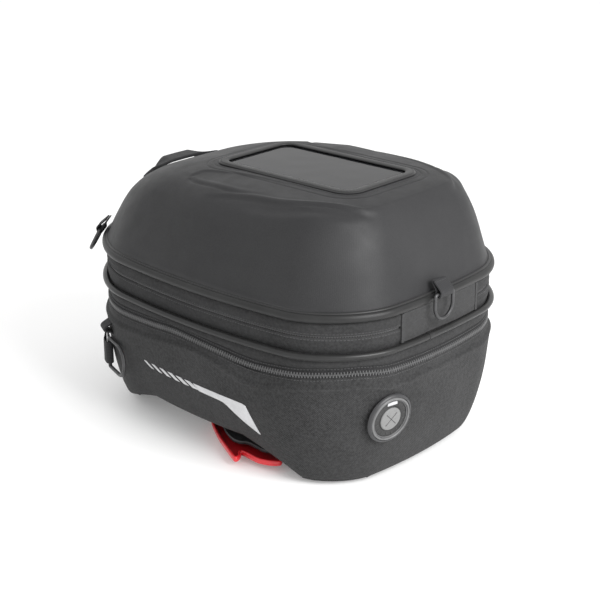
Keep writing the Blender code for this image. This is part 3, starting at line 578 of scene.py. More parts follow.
BEAD = np.array([  # along, out, up: a block whose outer face is smaller than its foot
    (-1, -1, -1), (1, -1, -1), (1, -1, 1), (-1, -1, 1),
    (-0.62, 1, -0.8), (0.62, 1, -0.8), (0.62, 1, 0.8), (-0.62, 1, 0.8),
], float)
BEAD_FACES = [(0, 1, 2, 3), (4, 7, 6, 5), (0, 4, 5, 1), (1, 5, 6, 2), (2, 6, 7, 3), (3, 7, 4, 0)]


def beads(name, paths, spacing, size, material, lift=0.0, rise=0.0, shift=0.0, ups=None):
    """Row of small blocks along paths: zip teeth or stitches. size is half (along, out, up)."""
    points, faces, uvs = [], [], []
    for path, closed in paths:
        places, tangents = even_path(path, spacing, closed)
        up = np.array(ups if ups is not None else (0.0, 0.0, 1.0))
        outs = np.cross(tangents, up)
        outs /= np.linalg.norm(outs, axis=1)[:, None]
        rises = np.cross(outs, tangents)
        for place, tangent, out, upward in zip(places, tangents, outs, rises):
            centre = place + tangent * shift + out * lift + upward * rise
            first = len(points)
            points += list(centre + BEAD @ (np.array([tangent, out, upward]) * np.array(size)[:, None]))
            faces += [tuple(first + k for k in face) for face in BEAD_FACES]
            uvs += [(0.0, 0.0), (size[0], 0.0), (size[0], size[2]), (0.0, size[2])] * len(BEAD_FACES)
    return make_mesh(name, points, faces, uvs, material, crease=60)


def round_path(offset, z, wave=None, keep=None):
    """Line round the bag, as a list for beads()."""
    ring = rings_from([(offset, z)], wave)
    if keep is None:
        return [(ring[0], True)]
    return [(stretch(ring, keep)[0], False)]


def tube(name, path, radius, material, matrix, sides=14):
    """Round wire along a closed path in the local YZ plane."""
    path = np.asarray(path, float)
    ahead = np.roll(path, -1, axis=0) - np.roll(path, 1, axis=0)
    ahead /= np.linalg.norm(ahead, axis=1)[:, None]
    side = np.column_stack([ahead[:, 1], -ahead[:, 0]])
    rows = []
    for angle in 2 * np.pi * np.arange(sides) / sides:
        plane = path + side * radius * math.cos(angle)
        rows.append(np.column_stack([np.full(len(path), radius * math.sin(angle)), plane]))
    return skin(name, rows, material, joined=True, matrix=matrix, crease=80)


def strap(name, path, width, thickness, material, matrix=None):
    """Webbing along a path in the local XZ plane, across local Y, with rounded selvedges."""
    path = np.asarray(path, float)
    ahead = np.gradient(path, axis=0)
    ahead /= np.linalg.norm(ahead, axis=1)[:, None]
    side = np.column_stack([-ahead[:, 1], ahead[:, 0]])
    half, rounding = width / 2, thickness * 0.6
    section = []
    for y in np.linspace(-half + rounding, half - rounding, 9):
        section.append((y, 0.5))
    section += [(half - rounding * 0.3, 0.36), (half, 0.0), (half - rounding * 0.3, -0.36)]
    section += [(y, -0.5) for y, _ in reversed(section[:9])]
    section += [(-half + rounding * 0.3, -0.36), (-half, 0.0), (-half + rounding * 0.3, 0.36)]
    rows = []
    for y, out in section:
        flat = path + side * thickness * out
        rows.append(np.column_stack([flat[:, 0], np.full(len(path), y), flat[:, 1]]))
    piece = skin(name, rows, material, wrap=False, joined=True, matrix=matrix)
    bm = bmesh.new()
    bm.from_mesh(piece.data)
    bmesh.ops.holes_fill(bm, edges=[e for e in bm.edges if e.is_boundary])
    bmesh.ops.recalc_face_normals(bm, faces=bm.faces)
    bm.to_mesh(piece.data)
    bm.free()
    return piece


def prism(name, outline, low, high, material, bevel=0.0, matrix=None):
    """Plate with its two rims rounded off by bevel."""
    outline = np.asarray(outline, float)[:, :2]
    ahead = np.roll(outline, -1, axis=0) - np.roll(outline, 1, axis=0)
    ahead /= np.maximum(np.linalg.norm(ahead, axis=1), 1e-9)[:, None]
    outward = np.column_stack([ahead[:, 1], -ahead[:, 0]])
    onward = np.roll(outline, -1, axis=0)
    area = 0.5 * np.sum(outline[:, 0] * onward[:, 1] - onward[:, 0] * outline[:, 1])
    outward *= np.sign(area)
    rows = []
    for inward, z in ((1.0, low), (0.3, low + 0.3 * bevel), (0.0, low + bevel),
                      (0.0, high - bevel), (0.3, high - 0.3 * bevel), (1.0, high)):
        plan = outline - outward * bevel * inward
        rows.append(np.column_stack([plan, np.full(len(plan), z)]))
    return skin(name, rows, material, caps=True, matrix=matrix, crease=30)


def tree_of(obj):
    bm = bmesh.new()
    bm.from_mesh(obj.data)
    tree = BVHTree.FromBMesh(bm)
    bm.free()
    return tree


def put(piece, body, slot, *nodes):
    """Sets the piece on its body and hides the CAD nodes that it stands for; slot, its finish, is not used."""
    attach(piece, body)
    if nodes:
        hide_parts(*nodes)
    return piece


# ---------------------------------------------------------------- lower shell
def arch(x):
    away = (x - ARCH_X) / ARCH_HALF_SPAN
    flat = 1 - (ARCH_FLAT_HALF / ARCH_HALF_SPAN) ** 2
    return ARCH_HEIGHT * np.clip((1 - away * away) / flat, 0, 1)


def lower_ring(offset, z):
    """Ring of the lower shell: waves with the zip and the ridge at the top, arches below."""
    plan = bag_outline(offset)
    x = plan[:, 0]
    ridge = table(RIDGE_WAVE, x) - RIDGE_ROW_Z
    above = np.clip((z - RIDGE_ROW_Z) / (LOWER_PROFILE[0][1] - RIDGE_ROW_Z), 0, 1)
    below = smoothstep((z - 0.062) / (RIDGE_ROW_Z - 0.062))
    lift = np.where(z >= RIDGE_ROW_Z, ridge + (zip_wave(x) - ridge) * above, ridge * below)
    return np.column_stack([plan, z + lift + arch(x) * max(0.0, 1 - z / ARCH_FADE_Z)])


def floor_ring(share, offset, z):
    plan = bag_outline(offset)
    inner = plan / np.linalg.norm(plan, axis=1)[:, None] * FLOOR_FLAT_RADIUS
    point = inner + (plan - inner) * share
    return np.column_stack([point, z + arch(point[:, 0])])


def build_lower_shell():
    profile = smooth_path(LOWER_PROFILE, 8)
    # the ridge is a crisp line: its crest is sharpened and a shallow channel runs above it
    crest = 0.0007 * np.exp(-((profile[:, 1] - RIDGE_ROW_Z) / 0.0016) ** 2)
    channel = -0.0006 * np.exp(-((profile[:, 1] - RIDGE_ROW_Z - 0.0048) / 0.0018) ** 2)
    profile[:, 0] += crest + channel
    outer = [lower_ring(offset, z) for offset, z in profile]
    inner = [lower_ring(offset - SHELL_WALL, max(z, LOWER_PROFILE[-1][1] + SHELL_WALL))
             for offset, z in profile[:-20]]
    edge_offset, edge_z = LOWER_PROFILE[-1]
    shares = (0.93, 0.84, 0.74, 0.64, 0.54, 0.44, 0.34, 0.24, 0.14, 0.06, 0.0)
    bottom = [floor_ring(share, edge_offset, edge_z) for share in shares]
    top = [floor_ring(share, edge_offset - SHELL_WALL, edge_z + SHELL_WALL) for share in shares]
    rows = list(reversed(top)) + list(reversed(inner)) + outer + bottom
    shell = skin("lower_shell_cover", rows, MATERIALS["textile"], caps=True, crease=50)
    put(shell, "base", "textile", "lower_shell")
    return shell


def build_reflective_strips(shell):
    """Six slanted dashes that grow towards a blade, on each long side."""
    tree = tree_of(shell)
    blade = [(0.0095, 0.0706), (0.0300, 0.0700), (0.0520, 0.0692), (0.0680, 0.0685), (0.0718, 0.0672),
             (0.0770, 0.0550), (0.0828, 0.0408), (0.0740, 0.0450), (0.0660, 0.0492), (0.0590, 0.0537),
             (0.0550, 0.0565), (0.0500, 0.0602), (0.0455, 0.0628), (0.0400, 0.0636), (0.0300, 0.0642),
             (0.0165, 0.0650)]
    dashes = []
    for k in range(6):
        share = k / 5
        x, width = -0.0585 + 0.0570 * share, 0.0040 + 0.0036 * share
        slant, top, bottom = 0.0105, 0.0722 - 0.0012 * share, 0.0668 - 0.0012 * share
        dashes.append([(x, top), (x + width, top), (x + width + slant, bottom), (x + slant, bottom)])
    for side, node in ((-1, "reflective_strip_right"), (1, "reflective_strip_left")):
        points, faces, uvs = [], [], []
        for outline in [blade] + dashes:
            dense = even_path(np.column_stack([outline, np.zeros(len(outline))]), 0.0012)[0][:, :2]
            middle = dense.mean(0)
            rings = [dense + (middle - dense) * share for share in (0.0, 0.012)]
            first = len(points)
            count = len(dense)
            for ring, lift in ((rings[0], -0.0004), (rings[0], 0.00035), (rings[1], 0.0005)):
                for x, z in ring:
                    hit = tree.ray_cast(Vector((x, side * 0.2, z)), Vector((0, -side, 0)))[0]
                    points.append((x, hit.y + side * lift, z))
            for row in range(2):
                for k in range(count):
                    n = (k + 1) % count
                    faces.append(tuple(first + i for i in (row * count + k, row * count + n,
                                                           (row + 1) * count + n, (row + 1) * count + k)))
            faces.append(tuple(first + 2 * count + k for k in range(count)))
            faces.append(tuple(first + k for k in reversed(range(count))))
        for face in faces:
            uvs += [(points[k][0], points[k][2]) for k in face]
        strip = make_mesh(node + "_film", points, faces, uvs, MATERIALS["reflective"], 60)
        triangulate_caps(strip)
        put(strip, "base", "reflective", node)


def triangulate_caps(piece):
    bm = bmesh.new()
    bm.from_mesh(piece.data)
    bmesh.ops.triangulate(bm, faces=[f for f in bm.faces if len(f.verts) > 4])
    bm.to_mesh(piece.data)
    bm.free()


# ---------------------------------------------------------------- collar and zips
def build_expansion_zip():
    pitch = 0.0026
    for body, node, side in (("base", "expansion_zip_lower_chain", -1),
                             ("collar", "expansion_zip_upper_chain", 1)):
        near, far = 0.0006, 0.0062
        tape = [(0.0002, side * near), (0.0010, side * near), (0.0010, side * 0.0028),
                (0.0005, side * 0.0034), (0.0009, side * (far - 0.0004)), (0.0004, side * far),
                (-0.0006, side * far), (-0.0006, side * near)]
        profile = [(out, EXPANSION_ZIP_Z + up) for out, up in tape]
        piece = skin(f"expansion_tape_{'upper' if side > 0 else 'lower'}", rings_from(profile, zip_wave),
                     MATERIALS["tape"], joined=True)
        put(piece, body, "zip", node)
        path = round_path(0.0012, EXPANSION_ZIP_Z, zip_wave)
        teeth = beads(f"expansion_teeth_{'upper' if side > 0 else 'lower'}", path, pitch,
                      (0.00062, 0.00080, 0.00170), MATERIALS["zip"], rise=side * 0.0008,
                      shift=pitch / 4 * side)
        put(teeth, body, "zip")
        seam = beads(f"expansion_stitches_{'upper' if side > 0 else 'lower'}",
                     round_path(0.0011, EXPANSION_ZIP_Z + side * 0.0050, zip_wave), 0.0028,
                     (0.0010, 0.00022, 0.00024), MATERIALS["thread"], lift=0.0002)
        put(seam, body, "zip")


def build_collar():
    low, high = EXPANSION_ZIP_Z, MAIN_ZIP_Z
    profile = [
        (-FABRIC, low + 0.0004), (-0.0004, low + 0.0003), (0.0003, low + 0.0010), (0.0006, low + 0.0035),
        (0.0005, low + 0.0065), (0.0011, low + 0.0080), (0.0017, low + 0.0105), (0.0014, low + 0.0135),
        (0.0004, PIPING_Z - 0.0030), (0.0000, PIPING_Z), (0.0004, PIPING_Z + 0.0032),
        (0.0012, PIPING_Z + 0.0065), (0.0014, PIPING_Z + 0.0095), (0.0011, high - 0.0050),
        (0.0011, high - 0.0016), (0.0005, high - 0.0009), (-0.0010, high - 0.0008),
        (-FABRIC, high - 0.0012), (-FABRIC, PIPING_Z),
    ]
    rings = []
    for offset, z in profile:
        share = 1 - smoothstep((z - low) / (PIPING_Z - 0.004 - low))
        plan = bag_outline(offset)
        rings.append(np.column_stack([plan, z + zip_wave(plan[:, 0]) * share]))
    cloth = hollow_behind_ring(skin("collar_cloth", rings, MATERIALS["band"], joined=True, crease=45))
    put(cloth, "collar", "textile", "collar_band")
    piping = skin("lower_piping_cord", rings_from(ellipse(0.0033, PIPING_Z, 0.0030, 0.0027)),
                  MATERIALS["piping"], joined=True)
    put(piping, "collar", "trim", "lower_piping")
    put(skin("lower_piping_flange", rings_from([
        (0.0004, PIPING_Z - 0.0042), (0.0015, PIPING_Z - 0.0044), (0.0022, PIPING_Z - 0.0018),
        (0.0006, PIPING_Z - 0.0006),
    ]), MATERIALS["trim"], joined=True), "collar", "trim")
    # the piping is butted together just beside the middle of the rider's end
    sleeve = part_band("piping_join", ellipse(0.0033, PIPING_Z, 0.0033, 0.0030), MATERIALS["trim"],
                       lambda x, y: (x > 0) & (np.abs(y + 0.017) < 0.0036))
    put(sleeve, "collar", "trim")


def build_main_zip():
    for body, node, side, stitch_z in (
            ("collar", "main_zip_lower_chain", -1, MAIN_ZIP_Z - 0.0026),
            ("lid", "main_zip_upper_chain", 1, MAIN_ZIP_Z + 0.0026)):
        name = "upper" if side > 0 else "lower"
        profile = [(-0.0046, MAIN_ZIP_Z + side * 0.0004), (-0.0012, MAIN_ZIP_Z + side * 0.0004),
                   (-0.0010, MAIN_ZIP_Z + side * 0.0010), (-0.0026, MAIN_ZIP_Z + side * 0.0016),
                   (-0.0028, MAIN_ZIP_Z + side * 0.0042), (-0.0046, MAIN_ZIP_Z + side * 0.0042)]
        tape = part_band(f"main_zip_tape_{name}", profile, MATERIALS["tape"], ahead_of_hinge)
        put(tape, body, "zip", node)
        teeth = beads(f"main_zip_teeth_{name}", round_path(-0.0006, MAIN_ZIP_Z, keep=ahead_of_hinge), 0.0022,
                      (0.00062, 0.00050, 0.00070), MATERIALS["zip"], rise=side * 0.00045,
                      shift=0.00055 * side)
        put(teeth, body, "zip")
        stitches = beads(f"main_zip_stitches_{name}", round_path(0.0012, stitch_z, keep=ahead_of_hinge), 0.0030,
                         (0.00105, 0.00024, 0.00024), MATERIALS["thread"], lift=0.0001)
        put(stitches, body, "zip")


def upper_wall(proud=0.0):
    """Closed profile of the fabric between the main zip and the trim."""
    low, top = MAIN_ZIP_Z + 0.0008, TRIM_Z - 0.0042
    return [
        (-FABRIC, low + 0.0006), (-0.0008, low), (0.0006 + proud, low + 0.0002),
        (0.0012 + proud, low + 0.0010),
        (0.0012 + proud, low + 0.0040), (0.0015 + proud, low + 0.0062), (0.0012 + proud, top - 0.0022),
        (0.0004 + proud, top), (-0.0014, top + 0.0012), (-0.0015, LID_PROFILE[0][1] - 0.0004),
        (-0.0036, LID_PROFILE[0][1] - 0.0004), (-0.0036, top), (-FABRIC, top - 0.0024),
    ]


def build_upper_wall():
    cloth = part_band("lid_band_cloth", upper_wall(), MATERIALS["band"], ahead_of_hinge)
    put(cloth, "lid", "textile", "lid_band")
    trim = [(offset, z) for offset, z in ellipse(0.0022, TRIM_Z, 0.0031, 0.0037, 20)]
    put(skin("lid_trim_edging", rings_from(trim), MATERIALS["trim"], joined=True), "lid", "trim", "lid_trim")
    put(skin("lid_trim_lip", rings_from([
        (0.0002, TRIM_Z + 0.0028), (0.0020, TRIM_Z + 0.0034), (0.0016, TRIM_Z + 0.0046),
        (0.0002, TRIM_Z + 0.0050),
    ]), MATERIALS["trim"], joined=True), "lid", "trim")


def hollow_behind_ring(piece):
    """Presses in the cloth where the rear ring comes down as the lid opens."""
    for vertex in piece.data.vertices:
        if vertex.co.x > 0:
            sideways = (vertex.co.y - HOLLOW_Y) / HOLLOW_HALF_WIDTH
            upward = (vertex.co.z - HOLLOW_Z) / HOLLOW_HALF_HEIGHT
            share = max(0.0, 1 - sideways ** 2) ** 2 * max(0.0, 1 - upward ** 2) ** 2
            vertex.co.x -= HOLLOW_DEPTH * share
    return piece


def build_hinge_panel():
    """Smooth fabric panel at the rider's end (the real one bends as the lid opens); here it is one fixed piece.
    """
    low, top = PIPING_Z + 0.0030, TRIM_Z - 0.0046
    heights = np.linspace(low, top, 19)
    share = (heights - low) / (top - low)
    crown = 0.0016 + 0.0007 * np.sin(np.pi * share) - 0.0004 * np.exp(-((heights - MAIN_ZIP_Z) / 0.0012) ** 2)
    outer = list(zip(crown, heights))
    inner = [(-0.0004, z) for z in heights[::-1]]
    panel = hollow_behind_ring(part_band("hinge_panel_cloth", outer + inner, MATERIALS["panel"], at_hinge))
    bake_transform(panel)
    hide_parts("hinge_panel")
    for name, edge in (("left", 1), ("right", -1)):
        seam = part_band(f"hinge_seam_{name}", outer_seam(low, top), MATERIALS["band"],
                         lambda x, y, edge=edge: (x > 0) & (np.abs(y * edge - HINGE_HALF_WIDTH) < 0.0021))
        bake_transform(seam)


def outer_seam(low, top):
    heights = np.linspace(low, top, 19)
    return [(0.0026, z) for z in heights] + [(0.0006, z) for z in heights[::-1]]


def build_gusset():
    """Pleated fabric behind the expansion zip (drawn out as the collar rises on the real bag); here it is one
    fixed piece.
    """
    low, high = 0.0952, 0.1228
    steps = 33
    heights = np.linspace(low, high, steps)
    pleat = 0.0007 * np.sin(np.linspace(0, 6 * np.pi, steps))
    outer = [(-0.0052 + p, z) for p, z in zip(pleat, heights)]
    inner = [(-0.0060 + p, z) for p, z in zip(pleat[::-1], heights[::-1])]
    gusset = skin("gusset_pleats", rings_from(outer + inner), MATERIALS["lining"], joined=True, crease=60)
    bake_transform(gusset)
    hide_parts("expansion_gusset")


# ---------------------------------------------------------------- lid
# lines of the lid's moulding on the right half, (x, y), from the front to the rider's end
PLATFORM_LINE = [(-0.041, -0.0815), (-0.039, -0.074), (-0.035, -0.067), (-0.016, -0.0635), (0.013, -0.0585),
                 (0.044, -0.0560), (0.074, -0.0545), (0.100, -0.0560), (0.122, -0.0600)]
BLADE_LINE = [(-0.041, -0.0815), (-0.028, -0.0870), (-0.006, -0.0900), (0.011, -0.0910), (0.030, -0.0900),
              (0.060, -0.0830)]
SHOULDER_LINE = [(-0.010, -0.1010), (0.005, -0.0995), (0.021, -0.0960), (0.043, -0.0920), (0.074, -0.0880),
                 (0.098, -0.0800), (0.120, -0.0710), (0.134, -0.0650), (0.1425, -0.0590), (0.1465, -0.0500),
                 (0.1480, -0.0380)]
SCOOP_LINE = [(0.030, -0.1040), (0.055, -0.1030), (0.080, -0.0990), (0.104, -0.0930), (0.122, -0.0860),
              (0.136, -0.0760), (0.1440, -0.0650), (0.1500, -0.0560)]


def from_line(x, y, line):
    """Distance to a line, positive outwards from the bag's middle, and the share of its length."""
    path = smooth_path(line, 6)
    starts, spans = path[:-1], np.diff(path, axis=0)
    lengths = np.linalg.norm(spans, axis=1)
    travelled = np.concatenate([[0], np.cumsum(lengths)])
    best = np.full(x.shape, 1.0)
    signed = np.full(x.shape, 1.0)
    share = np.zeros(x.shape)
    for k, (start, span) in enumerate(zip(starts, spans)):
        dx, dy = x - start[0], y - start[1]
        t = np.clip((dx * span[0] + dy * span[1]) / lengths[k] ** 2, 0, 1)
        distance = np.hypot(dx - t * span[0], dy - t * span[1])
        side = np.where(span[0] * dy - span[1] * dx > 0, -1.0, 1.0)
        closer = distance < best
        best = np.where(closer, distance, best)
        signed = np.where(closer, distance * side, signed)
        share = np.where(closer, (travelled[k] + t * lengths[k]) / travelled[-1], share)
    return signed, share


def fading(share, start, end):
    """1 along the middle of a line, dying out over its first and last shares."""
    return smoothstep(share / max(start, 1e-6)) * smoothstep((1 - share) / max(end, 1e-6))


def window_distance(x, y):
    """Distance outside the window's rounded rectangle."""
    dx = np.abs(x - WINDOW_X) - (WINDOW_HALF[0] - WINDOW_RADIUS)
    dy = np.abs(y) - (WINDOW_HALF[1] - WINDOW_RADIUS)
    return np.hypot(np.maximum(dx, 0), np.maximum(dy, 0)) + np.minimum(np.maximum(dx, dy), 0) - WINDOW_RADIUS


def lid_relief(x, y):
    """Height of the moulded lines over the plain dome."""
    y = -np.abs(y)
    height = np.zeros(x.shape)
    d, share = from_line(x, y, PLATFORM_LINE)
    raised = 0.5 * (1 - np.tanh(d / 0.0011)) * np.exp(-np.maximum(-d, 0) / 0.014)
    height += 0.0013 * raised * fading(share, 0.04, 0.35)
    d, share = from_line(x, y, BLADE_LINE)
    crease = 0.0007 * np.exp(-((d + 0.0030) / 0.0030) ** 2) - 0.0008 * np.exp(-((d - 0.0006) / 0.0016) ** 2)
    height += crease * fading(share, 0.05, 0.5)
    d, share = from_line(x, y, SHOULDER_LINE)
    lip = 0.0012 * np.exp(-((d + 0.0010) / 0.0022) ** 2) - 0.0012 * np.exp(-((d - 0.0022) / 0.0022) ** 2)
    height += lip * fading(share, 0.25, 0.25)
    d, share = from_line(x, y, SCOOP_LINE)
    scoop = 0.0012 * np.exp(-((d - 0.0018) / 0.0040) ** 2) - 0.0018 * np.exp(-((d + 0.0050) / 0.0045) ** 2)
    height += scoop * fading(share, 0.30, 0.25)
    away = window_distance(x, y)
    for distance, depth in ((0.0085, 0.0005), (0.0150, 0.0006)):
        height -= depth * np.exp(-((away - distance) / 0.0009) ** 2)
    return height * smoothstep((away - 0.0045) / 0.003)


def lid_fall(x, share):
    front = np.clip(x / FRONT_DROP_X, 0, 1)
    rear = np.clip(x / REAR_LEAN_X, 0, 1)
    front_fall = FRONT_DROP * front * math.sin(math.pi * share ** 0.7)
    return front_fall + REAR_LEAN * rear * math.sin(math.pi * min(1.0, 2 * share) ** 0.55)


def lid_ring(share, z, inset=0.0):
    share = min(max(share, 0.0), 1.0)
    rim = bag_outline(-inset)
    point = rim + (window_outline() - rim) * share
    return np.column_stack([point, z - lid_fall(point[:, 0], share)])


def build_lid():
    profile = smooth_path(LID_PROFILE, 40)
    wanted = np.concatenate([np.linspace(0, 0.2, 18, endpoint=False), np.linspace(0.2, 1.0, 90)])
    heights = np.interp(wanted, profile[:, 0], profile[:, 1])
    outer = np.array([lid_ring(share, z) for share, z in zip(wanted, heights)])
    along = np.roll(outer, -1, axis=1) - np.roll(outer, 1, axis=1)
    up = np.gradient(outer, axis=0)
    normal = np.cross(along, up)
    normal /= np.linalg.norm(normal, axis=2)[:, :, None]
    outer = outer + normal * lid_relief(outer[:, :, 0], outer[:, :, 1])[:, :, None]
    inner = []
    for share, z in LID_PROFILE:
        drop = SHELL_WALL * min(1.0, share / 0.12)
        inner.append(lid_ring(share, z - drop, SHELL_WALL * (1 - share)))
    lid = skin("lid_skin_cover", list(outer) + inner[::-1], MATERIALS["lid_skin"], joined=True, crease=60)
    put(lid, "lid", "lid_skin", "lid_shell")
    return lid


def build_window():
    top = LID_TOP_Z
    profile = [(-0.0045, top + 0.0004), (-0.0043, top + 0.0013), (-0.0030, top + 0.0018),
               (0.0016, top + 0.0018),
               (0.0038, top + 0.0012), (0.0045, top + 0.0004)]
    rows = [np.column_stack([window_outline(grow), np.full(len(window_outline()), z)]) for grow, z in profile]
    welt = skin("window_frame_welt", rows, MATERIALS["trim"], joined=True, crease=50)
    put(welt, "lid", "trim", "window_frame")
    stitch = [(np.column_stack([window_outline(0.0026), np.full(len(window_outline()), top + 0.0016)]), True)]
    put(beads("window_stitches", stitch, 0.0028, (0.0010, 0.0002, 0.0002), MATERIALS["thread"], ups=(0, 0, 1),
              rise=0.0001), "lid", "trim")
    rings = []
    for shrink in (0.0, 0.12, 0.3, 0.5, 0.7, 0.9):
        plan = window_outline(-0.0006)
        middle = np.array([WINDOW_X, 0.0])
        plan = plan + (middle - plan) * shrink
        sag = 0.0005 * math.sin(math.pi / 2 * min(1.0, shrink * 1.2))
        rings.append(np.column_stack([plan, np.full(len(plan), top - 0.0004 - sag)]))
    rings += [ring - np.array([0, 0, 0.0005]) for ring in reversed(rings)]
    film = skin("window_film_sheet", rings, MATERIALS["clear_film"], caps=True, crease=50)
    put(film, "lid", "clear_film", "window_film")


def build_mesh_pocket():
    free_edge = 0.100
    plan = bag_outline(-0.0130)
    kept = plan[plan[:, 0] < free_edge - 0.001]
    first = int(np.argmax(np.where(kept[:, 1] > 0, kept[:, 0], -1)))
    front = np.roll(kept, -first, axis=0)
    rim = np.vstack([[free_edge, front[0, 1]], front, [free_edge, -front[0, 1]]])
    centre = np.array([-0.01, 0.0])
    thickness, rim_height = 0.0008, 0.1772
    upper = []
    for shrink, sag in ((0.90, 0.0040), (0.70, 0.0038), (0.50, 0.0034), (0.30, 0.0026), (0.16, 0.0016),
                        (0.06, 0.0006), (0.0, 0.0)):
        inward = rim + (centre - rim) * shrink
        upper.append(np.column_stack([inward, np.full(len(inward), rim_height - sag)]))
    rows = upper + [row - np.array([0, 0, thickness]) for row in reversed(upper)]
    net = skin("lid_net", rows, MATERIALS["mesh_net"], caps=True, crease=60)
    planar_cloth(net)
    put(net, "lid", "mesh_net", "lid_mesh_pocket")
    edge = np.array([(free_edge, y, 0.1768) for y in np.linspace(-0.112, 0.112, 60)])
    rows = []
    for angle in 2 * np.pi * np.arange(10) / 10:
        rows.append(edge + np.array([0.0022 * math.cos(angle), 0, 0.0012 * math.sin(angle)]))
    binding = skin("lid_net_binding", rows, MATERIALS["webbing"], wrap=False, joined=True, crease=80)
    put(binding, "lid", "mesh_net")


def planar_cloth(piece):
    """Lays the weave of a nearly level piece straight along X and Y."""
    mesh = piece.data
    layer = mesh.uv_layers["cloth"].data
    for loop in mesh.loops:
        co = mesh.vertices[loop.vertex_index].co
        layer[loop.index].uv = (co.x, co.y)


def build_handle(lid):
    """Webbing grip: sewn down at both ends and arched between."""
    tree = tree_of(lid)

    def lid_height(x, y):
        return tree.ray_cast(Vector((x, y, 0.4)), Vector((0, 0, -1)))[0].z

    thickness = 0.0030
    level = 0.2206
    rows = []
    section = [(-0.5, 0.25), (-0.47, 0.0), (-0.25, -0.02), (0.0, -0.04), (0.25, -0.02), (0.47, 0.0),
               (0.5, 0.25),
               (0.5, 0.75), (0.47, 1.0), (0.25, 1.04), (0.0, 1.06), (-0.25, 1.04), (-0.47, 1.0), (-0.5, 0.75)]
    ys = np.linspace(-HANDLE_HALF_SPAN, HANDLE_HALF_SPAN, 61)
    for y in ys:
        away = abs(y) / HANDLE_HALF_SPAN
        lifted = float(smoothstep((0.84 - away) / (0.84 - 0.36)))
        crown = 0.0010 * (1 - away) ** 0.5
        row = []
        for dx, up in section:
            x = HANDLE_X + dx * HANDLE_WIDTH
            resting = lid_height(x, y) + 0.0006
            z = resting + (level + crown - resting) * lifted + up * thickness
            row.append((x, y, z))
        rows.append(row)
    handle = skin("carry_handle_webbing", rows, MATERIALS["webbing"], caps=True, crease=50)
    swap_cloth(handle)
    put(handle, "lid", "webbing", "carry_handle")
    paths = []
    for side in (-1, 1):
        lines = [((-0.0062, 0.0358), (0.0062, 0.0358)), ((-0.0062, 0.0404), (0.0062, 0.0404)),
                 ((-0.0062, 0.0358), (0.0062, 0.0404)), ((-0.0062, 0.0404), (0.0062, 0.0358))]
        for (x0, y0), (x1, y1) in lines:
            line = []
            for t in np.linspace(0, 1, 12):
                x, y = HANDLE_X + x0 + (x1 - x0) * t, side * (y0 + (y1 - y0) * t)
                line.append((x, y, lid_height(x, y) + 0.0006 + thickness * 1.05))
            paths.append((np.array(line), False))
    put(beads("handle_stitches", paths, 0.0022, (0.0008, 0.0002, 0.0002), MATERIALS["thread"], rise=0.0002),
        "lid", "webbing")


def swap_cloth(piece):
    """Turns the weave so that the ribs run along the strap."""
    layer = piece.data.uv_layers["cloth"].data
    for entry in layer:
        entry.uv = (entry.uv[1], entry.uv[0])


# ---------------------------------------------------------------- D-rings, sliders
def end_wall_point(y, end, offset):
    """Point and outward normal of the CAD outline at a given y, on the rider's (+1) or front (-1) end."""
    points = bag_outline(offset, CAD_STEPS)
    for a, b in zip(points, np.roll(points, -1, axis=0)):
        if a[0] * end > 0 and b[0] * end > 0 and min(a[1], b[1]) <= y <= max(a[1], b[1]):
            share = (y - a[1]) / (b[1] - a[1])
            x = a[0] + share * (b[0] - a[0])
            along = Vector((b[0] - a[0], b[1] - a[1], 0)).normalized()
            return Vector((x, y, 0)), Vector((along.y, -along.x, 0))
    raise ValueError("no wall at this y")


def wall_matrix(y, end, z, stand_off):
    """Frame by an end wall: local X out of the wall, local Y along it, local Z up."""
    place, out = end_wall_point(y, end, 0.0)
    across = Vector((0, 0, 1)).cross(out).normalized()
    matrix = Matrix((out, across, Vector((0, 0, 1)))).transposed().to_4x4()
    matrix.translation = place + out * stand_off + Vector((0, 0, z))
    return matrix


def wall_lean(z):
    for (high_out, high), (low_out, low) in zip(LOWER_PROFILE, LOWER_PROFILE[1:]):
        if low <= z <= high:
            return low_out + (high_out - low_out) * (z - low) / (high - low)
    return 0.0


def ring_route(width, drop, wire):
    half = width / 2 + wire
    corner = 0.0022
    arc_centre = -(drop - half)
    route = [(y, 0.0) for y in np.linspace(-half + corner, half - corner, 9)]
    route += [(half - corner + corner * math.sin(a), -corner + corner * math.cos(a))
              for a in np.linspace(0.3, math.pi / 2, 4)]
    route += [(half, z) for z in np.linspace(-corner, arc_centre, 5)[1:]]
    route += [(half * math.cos(a), arc_centre - half * math.sin(a)) for a in np.linspace(0, math.pi, 33)[1:]]
    route += [(-half, z) for z in np.linspace(arc_centre, -corner, 5)[1:]]
    route += [(-half + corner - corner * math.cos(a), -corner + corner * math.sin(a))
              for a in np.linspace(0.3, math.pi / 2 - 0.3, 3)]
    return route


